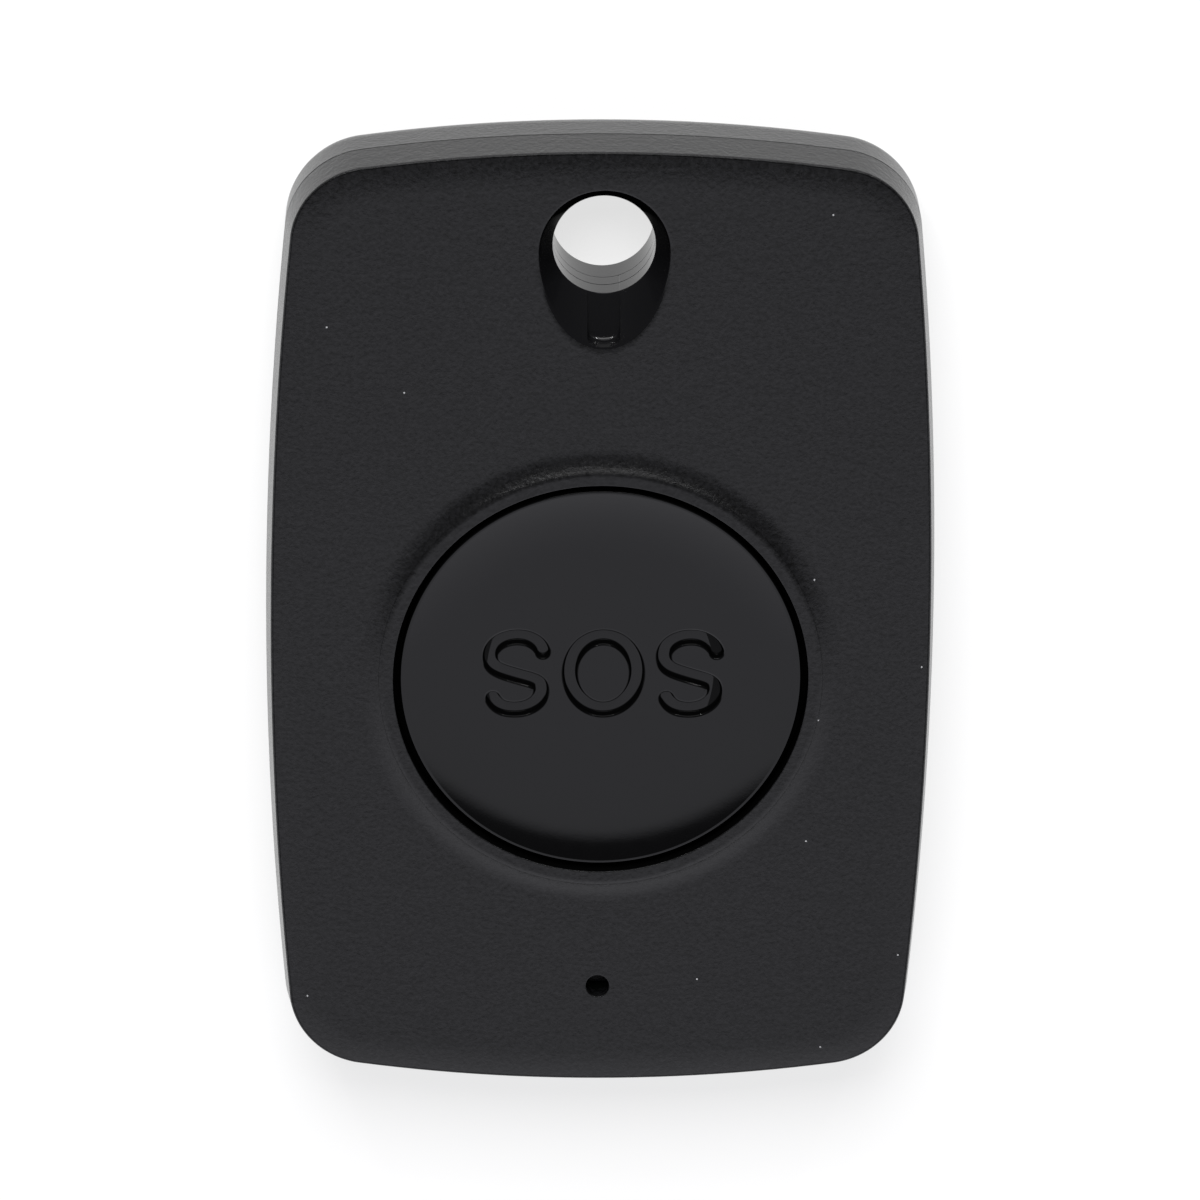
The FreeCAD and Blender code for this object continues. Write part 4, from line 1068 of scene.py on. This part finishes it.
def new_material(name, sockets_of, painted_shade_mask_of=None):
    """A material whose surface is one principled shader, fed by sockets_of. Where the shade mask
    gives one, the surface is matt black instead: painted shade for recesses and gaps."""
    material = bpy.data.materials.new(name)
    material.use_nodes = True
    shader = Shader(material.node_tree)
    sockets = {
        key: as_colour(value) if key == "Base Color" else value
        for key, value in sockets_of(shader).items()
    }
    surface = shader.take("ShaderNodeBsdfPrincipled", "BSDF", None, sockets)
    if painted_shade_mask_of:
        # Painted shade: a matt black surface without gloss, mixed in where the mask asks, stands in
        # for the shade in recesses and gaps.
        black = {"Color": (0.001, 0.001, 0.001, 1)}
        painted_shade = shader.take("ShaderNodeBsdfDiffuse", "BSDF", None, black)
        mixed = shader.add("ShaderNodeMixShader", None, {0: painted_shade_mask_of(shader), 1: surface, 2: painted_shade})
        surface = Signal(shader, mixed.outputs[0])
    shader.finish(surface)
    return material


def dress(piece, material):
    piece.data.materials.clear()
    piece.data.materials.append(material)


def in_scoop(shader, bore, x, y):
    """One inside the scoop's mouth, which is half a circle above half an ellipse, else zero."""
    along = y - bore.place
    reach = (along < 0.0) * (bore.reach - bore.mouth) + bore.mouth
    return (x / bore.mouth) * (x / bore.mouth) + (along / reach) * (along / reach) < 1.0


def spark_plastic(finish, case, bore, button):
    """Black plastic from a spark-eroded mould: two sizes of grain, a faint change of gloss and
    a few dust specks on the face. The scoop and the bore are polished and the sides are smoother
    than the face. As painted shade, the wall of the button's opening and the scoop round the bore
    are turned matt black, the scoop more towards the keyring end."""

    def sockets(shader):
        place = shader.place()
        x, y, z = shader.axes()
        polished = in_scoop(shader, bore, x, y)
        grained = 1.0 - polished
        side = z < case.face - case.crown_drop - 0.1 * MM
        grain = shader.noise(place, finish.grain * 1.6, 3.0, 0.62)
        coarse = shader.noise(place, finish.grain * 4.2, 1.0)
        patches = shader.noise(place, 9 * MM, 2.0)
        speck_apart, speck_size = 6 * MM, 0.009
        specks = shader.add(
            "ShaderNodeTexVoronoi",
            {"voronoi_dimensions": "2D", "feature": "F1"},
            {"Vector": place, "Scale": 1 / speck_apart},
        )
        near = Signal(shader, specks.outputs["Distance"]) < speck_size
        chosen = shader.take(
            "ShaderNodeSeparateColor", 0, None, {"Color": Signal(shader, specks.outputs["Color"])}
        )
        dust = near * (chosen < finish.dust) * (z > case.face - 0.5 * MM) * grained
        dark = tuple(0.1 * c for c in finish.case_colour)
        light = tuple(3.6 * c for c in finish.case_colour)
        tint = (patches * 0.2 + grain * 2.4 - 0.8) * grained + polished * 0.65
        plastic = shader.blend(tint, dark, light)
        height = grain * 0.7 + coarse * 0.3
        return {
            "Base Color": shader.blend(dust, plastic, (0.32, 0.32, 0.33)),
            "Roughness": grained * (finish.case_rough + patches * 0.06 + grain * 0.06 - 0.06)
            + polished * finish.scoop_rough
            - grained * side * finish.side_gloss,
            "Normal": shader.bump(height * (grained * 0.94 + 0.06), finish.grain_height),
            "IOR": 1.5,
        }

    # Painted shade: the wall of the button's opening turns matt black, and so does the scoop outside
    # the bore, more towards the keyring end.
    def painted_shade(shader):
        x, y, z = shader.axes()
        away = y - button.place
        wall = button.opening + 0.02 * MM
        wall_top = case.face + 0.42 * MM
        opening = (x * x + away * away < wall * wall) * (z < wall_top)
        above = y - bore.place
        tube = bore.radius + 0.04 * MM
        ring = in_scoop(shader, bore, x, y) * (x * x + above * above > tube * tube)
        return opening + ring * (above / (4.5 * MM) + 0.5)

    return new_material("spark_plastic", sockets, painted_shade)


def satin_plastic(finish, rim, letters):
    """The button's smoother black plastic, with a faint orange-peel surface. As painted shade,
    the button's wall below its rim is matt black, and the engraved walls between face and
    bottom are mostly so."""

    def sockets(shader):
        place = shader.place()
        peel = shader.noise(place, 1.1 * MM, 2.0)
        fine = shader.noise(place, 0.12 * MM, 2.0)
        dark = tuple(0.9 * c for c in finish.button_colour)
        light = tuple(1.12 * c for c in finish.button_colour)
        return {
            "Base Color": shader.blend(peel, dark, light),
            "Roughness": finish.button_rough + peel * 0.05 + fine * 0.03 - 0.04,
            "Normal": shader.bump(peel * 0.7 + fine * 0.3, 0.004 * MM),
            "IOR": 1.5,
        }

    # Painted shade: the button below its rim turns matt black, and the engraved walls three quarters
    # so.
    def painted_shade(shader):
        x, y, z = shader.axes()
        away = y - rim.place
        wall = rim.radius - 0.01 * MM
        spread = x * x + away * away
        letter_reach = 8.6 * MM
        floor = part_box("button_cap")[1].z - rim.dish
        sides = (z < floor - 0.012 * MM) * (z > floor - letters.depth + 0.02 * MM)
        return (spread > wall * wall) + sides * (spread < letter_reach * letter_reach) * 0.75

    return new_material("satin_plastic", sockets, painted_shade)


def brushed_metal(name, shade, rough, size):
    """Bright metal with fine marks drawn out along the case."""

    def sockets(shader):
        drawn = shader.take(
            "ShaderNodeMapping",
            "Vector",
            None,
            {"Vector": shader.place(), "Scale": (1.0, 0.06, 1.0)},
        )
        marks = shader.noise(drawn, size, 3.0, 0.6)
        dull = shader.noise(shader.place(), size * 40, 2.0)
        darker = tuple(0.78 * c for c in shade)
        return {
            "Base Color": shader.blend(dull * 0.6 + marks * 0.4, darker, shade),
            "Metallic": 1.0,
            "Roughness": rough + marks * 0.12,
            "Normal": shader.bump(marks, size * 0.05),
        }

    return new_material(name, sockets)


def moulded(name, shade, rough, size, spread=0.25):
    """A plain moulded, cast or fired material with a fine grain and a slow change of tone."""

    def sockets(shader):
        place = shader.place()
        grain = shader.noise(place, size, 3.0, 0.6)
        slow = shader.noise(place, size * 25, 1.0)
        darker = tuple((1 - spread) * c for c in shade)
        return {
            "Base Color": shader.blend(grain * 0.5 + slow * 0.5, darker, shade),
            "Roughness": rough + grain * 0.1,
            "Normal": shader.bump(grain, size * 0.08),
        }

    return new_material(name, sockets)


def board_laminate():
    """Black solder mask over copper: faint tracks in a square pattern and a woven grain."""

    def sockets(shader):
        place = shader.place()
        tracks = shader.add(
            "ShaderNodeTexBrick",
            {"offset": 0.37, "squash": 0.6},
            {
                "Vector": place,
                "Scale": 1 / (5 * MM),
                "Mortar Size": 0.03,
                "Color1": (0, 0, 0, 1),
                "Color2": (0, 0, 0, 1),
                "Mortar": (1, 1, 1, 1),
            },
        )
        lines = Signal(shader, tracks.outputs["Fac"])
        weave = shader.noise(place, 0.3 * MM, 2.0)
        return {
            "Base Color": shader.blend(lines, (0.004, 0.005, 0.004), (0.02, 0.022, 0.018)),
            "Roughness": 0.28 + weave * 0.12,
            "Normal": shader.bump(lines + weave * 0.2, 0.02 * MM),
        }

    return new_material("board_laminate", sockets)


def inner_finishes():
    """Node to material for everything inside the case."""
    steel = brushed_metal("spring_steel", (0.62, 0.62, 0.63), 0.28, 0.12 * MM)
    cell = brushed_metal("cell_steel", (0.72, 0.72, 0.73), 0.22, 0.08 * MM)
    gold = brushed_metal("contact_gold", (0.85, 0.62, 0.28), 0.2, 0.1 * MM)
    copper = brushed_metal("antenna_copper", (0.8, 0.42, 0.26), 0.25, 0.1 * MM)
    black = moulded("chip_plastic", (0.03, 0.03, 0.032), 0.5, 0.1 * MM)
    ceramic = moulded("chip_ceramic", (0.42, 0.31, 0.2), 0.45, 0.12 * MM)
    return {
        "return_ring": moulded("soft_rubber", (0.32, 0.32, 0.33), 0.7, 0.25 * MM),
        "circuit_board": board_laminate(),
        "coin_cell": cell,
        "battery_clip": steel,
        "battery_contact": gold,
        "switch_base": black,
        "switch_cover": steel,
        "switch_plunger": moulded("plunger_plastic", (0.5, 0.1, 0.07), 0.4, 0.1 * MM),
        "switch_terminals": steel,
        "antenna": copper,
        "radio_chip": black,
        "microcontroller": black,
        "crystal": steel,
        "status_light": moulded("light_resin", (0.012, 0.012, 0.014), 0.3, 0.2 * MM),
        "chip_capacitors": ceramic,
        "chip_resistors": black,
        "chip_inductors": ceramic,
    }


# Studio


def pale_shader(shader, lit, glow):
    """What the camera and gloss see: the lit surface and an even pale glow together."""
    path = shader.add("ShaderNodeLightPath")
    seen = Signal(shader, path.outputs["Is Camera Ray"])
    gloss = Signal(shader, path.outputs["Is Glossy Ray"])
    through = Signal(shader, path.outputs["Is Transmission Ray"])
    looks = seen + gloss + through
    light = shader.take(
        "ShaderNodeEmission", "Emission", None, {"Color": (1, 1, 1, 1), "Strength": 1.0}
    )
    part = (looks > 0.5) * glow
    mixed = shader.add("ShaderNodeMixShader", None, {0: part, 1: lit, 2: light})
    return Signal(shader, mixed.outputs[0])


def make_floor(studio):
    half = studio.floor / 2
    skin = Skin()
    spots = np.linspace(-half, half, 9)
    x, y = np.meshgrid(spots, spots)
    skin.grid(np.stack([x, y, np.zeros_like(x)], axis=-1), ring=False)
    floor = skin.build("floor")
    material = bpy.data.materials.new("pale_floor")
    material.use_nodes = True
    shader = Shader(material.node_tree)
    lit = shader.take(
        "ShaderNodeBsdfDiffuse", "BSDF", None, {"Color": as_colour(studio.floor_colour)}
    )
    shader.finish(pale_shader(shader, lit, studio.glow))
    dress(floor, material)


def make_world():
    """A studio that is pale beyond the button's end, dark beyond the keyring's end and pale
    again low down there: the tone follows the looked way's part along the case. The camera
    sees white."""
    world = bpy.data.worlds.new("studio")
    world.use_nodes = True
    shader = Shader(world.node_tree)
    way = shader.take("ShaderNodeTexCoord", "Generated")
    along = shader.take("ShaderNodeSeparateXYZ", "Y", None, {"Vector": way})
    pale, dark = (0.6, 0.605, 0.64), (0.03, 0.03, 0.03)
    stops = [
        (0.0, (1.0, 1.0, 1.06)),
        (0.12, (0.9, 0.9, 0.96)),
        (0.28, (0.62, 0.62, 0.67)),
        (0.425, pale),
        (0.475, dark),
        (0.85, dark),
        (0.93, (0.45, 0.45, 0.47)),
        (1.0, (0.6, 0.6, 0.62)),
    ]
    ramp = shader.add("ShaderNodeValToRGB", {"stops": stops}, {"Fac": along * 0.5 + 0.5})
    path = shader.add("ShaderNodeLightPath")
    seen = Signal(shader, path.outputs["Is Camera Ray"])
    tone = shader.blend(seen, Signal(shader, ramp.outputs[0]), (1, 1, 1))
    glow = shader.take("ShaderNodeBackground", 0, None, {"Color": tone, "Strength": 1.0})
    shader.finish(glow, "ShaderNodeOutputWorld")
    bpy.context.scene.world = world


def add_lamp(name, tilt, turn, distance, width, depth, radiance, gloss=True):
    """A soft box that looks at the object. Tilt is from upright towards +Y, turn is about the
    upright axis. Its power is radiance times pi times its area."""
    lamp = bpy.data.lights.new(name, "AREA")
    lamp.shape = "RECTANGLE"
    lamp.size = width
    lamp.size_y = depth
    lamp.energy = radiance * np.pi * width * depth
    item = bpy.data.objects.new(name, lamp)
    tilt, turn = tilt * DEGREE, turn * DEGREE
    way = Vector((np.sin(tilt) * np.sin(turn), np.sin(tilt) * np.cos(turn), np.cos(tilt)))
    facing = way.to_track_quat("Z", "Y").to_matrix().to_4x4()
    item.matrix_world = Matrix.Translation(way * distance) @ facing
    item.visible_glossy = gloss
    bpy.context.scene.collection.objects.link(item)
    return item


def make_lamps():
    """The key lamp casts the shadow and doesn't show in gloss. The others glint on the edges."""
    add_lamp("key", 42, -6, 1.0, 0.5, 0.5, 16.0, gloss=False)
    add_lamp("back", 58, 0, 0.8, 0.5, 0.22, 2.4)
    add_lamp("left_spark", 66, -24, 0.8, 0.03, 0.03, 160.0)
    add_lamp("right_spark", 66, 24, 0.8, 0.03, 0.03, 160.0)


def make_camera(studio, face):
    """The camera stands on the line from its target, tilted towards the keyring end and turned
    a little to the left. Its lens is the distance over the width of the view."""
    tilt, yaw, roll = studio.tilt, studio.yaw, studio.roll
    back = Vector((-np.sin(yaw) * np.cos(tilt), np.sin(tilt), np.cos(yaw) * np.cos(tilt)))
    back.normalize()
    side = Vector((np.cos(yaw), 0, np.sin(yaw)))
    rise = back.cross(side).normalized()
    side = rise.cross(back)
    right = side * np.cos(roll) + rise * np.sin(roll)
    up = rise * np.cos(roll) - side * np.sin(roll)
    spot = Vector((studio.target_x, studio.target_y, face)) + back * studio.distance
    camera = bpy.data.cameras.new("camera")
    camera.sensor_width = 36.0
    camera.lens = camera.sensor_width * studio.distance / studio.reach
    camera.clip_start = 0.01
    item = bpy.data.objects.new("camera", camera)
    item.matrix_world = Matrix(
        [
            (right.x, up.x, back.x, spot.x),
            (right.y, up.y, back.y, spot.y),
            (right.z, up.z, back.z, spot.z),
            (0, 0, 0, 1),
        ]
    )
    bpy.context.scene.collection.objects.link(item)
    bpy.context.scene.camera = item


class PANIC_OT_shells(bpy.types.Operator):
    """Makes the front and the rear shell of the case"""

    bl_idname = "panic.shells"
    bl_label = "Make the shells"

    def execute(self, context):
        case, bore = settings(context, "case"), settings(context, "bore")
        button = settings(context, "button")
        plastic = spark_plastic(settings(context, "finish"), case, bore, button)
        front = make_front(case, bore, button)
        rear = make_rear(case, bore, button)
        for piece, node in ((front, "front_shell"), (rear, "rear_shell")):
            dress(piece, plastic)
            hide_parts(node)
            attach(piece, "case")
        return {"FINISHED"}


class PANIC_OT_button(bpy.types.Operator):
    """Makes the dished button with its engraved letters"""

    bl_idname = "panic.button"
    bl_label = "Make the button"

    def execute(self, context):
        case, button = settings(context, "case"), settings(context, "button")
        letters = settings(context, "letters")
        piece = make_button(case, button, letters)
        dress(piece, satin_plastic(settings(context, "finish"), button, letters))
        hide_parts("button_cap")
        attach(piece, "button")
        return {"FINISHED"}


class PANIC_OT_inside(bpy.types.Operator):
    """Gives the board, the cell and the other inner parts their finish"""

    bl_idname = "panic.inside"
    bl_label = "Finish the inner parts"

    def execute(self, context):
        case, bore = settings(context, "case"), settings(context, "bore")
        button = settings(context, "button")
        plastic = spark_plastic(settings(context, "finish"), case, bore, button)
        satin = satin_plastic(settings(context, "finish"), button, settings(context, "letters"))
        finishes = inner_finishes()
        dress(make_ring(button), finishes["return_ring"])
        finishes.update(front_shell=plastic, rear_shell=plastic, button_cap=satin)
        for node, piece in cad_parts.items():
            dress(piece, finishes[node])
        return {"FINISHED"}


class PANIC_OT_studio(bpy.types.Operator):
    """Makes the floor, the lamps, the world and the camera"""

    bl_idname = "panic.studio"
    bl_label = "Make the studio"

    def execute(self, context):
        studio = settings(context, "studio")
        make_floor(studio)
        make_world()
        make_lamps()
        make_camera(studio, settings(context, "case").face)
        context.scene.view_settings.view_transform = "Standard"
        return {"FINISHED"}


OPERATORS = (PANIC_OT_shells, PANIC_OT_button, PANIC_OT_inside, PANIC_OT_studio)


class PANIC_PT_panel(bpy.types.Panel):
    """Lists the steps that make the panic button"""

    bl_idname = "PANIC_PT_panel"
    bl_label = "Panic button"
    bl_space_type = "VIEW_3D"
    bl_region_type = "UI"
    bl_category = "Panic button"

    def draw(self, context):
        for operator in OPERATORS:
            self.layout.operator(operator.bl_idname)
        for name, group in SETTINGS:
            box = self.layout.box()
            box.label(text=group.__doc__)
            for item in group.__annotations__:
                box.prop(settings(context, name), item)


CLASSES = tuple(group for _, group in SETTINGS) + OPERATORS + (PANIC_PT_panel,)


def register():
    for item in CLASSES:
        bpy.utils.register_class(item)
    for name, group in SETTINGS:
        setattr(bpy.types.Scene, "panic_" + name, PointerProperty(type=group))


def unregister():
    for name, _ in SETTINGS:
        delattr(bpy.types.Scene, "panic_" + name)
    for item in reversed(CLASSES):
        bpy.utils.unregister_class(item)


def main():
    register()
    bpy.ops.panic.shells()
    bpy.ops.panic.button()
    bpy.ops.panic.inside()
    bpy.ops.panic.studio()


if __name__ == "__main__":
    main()
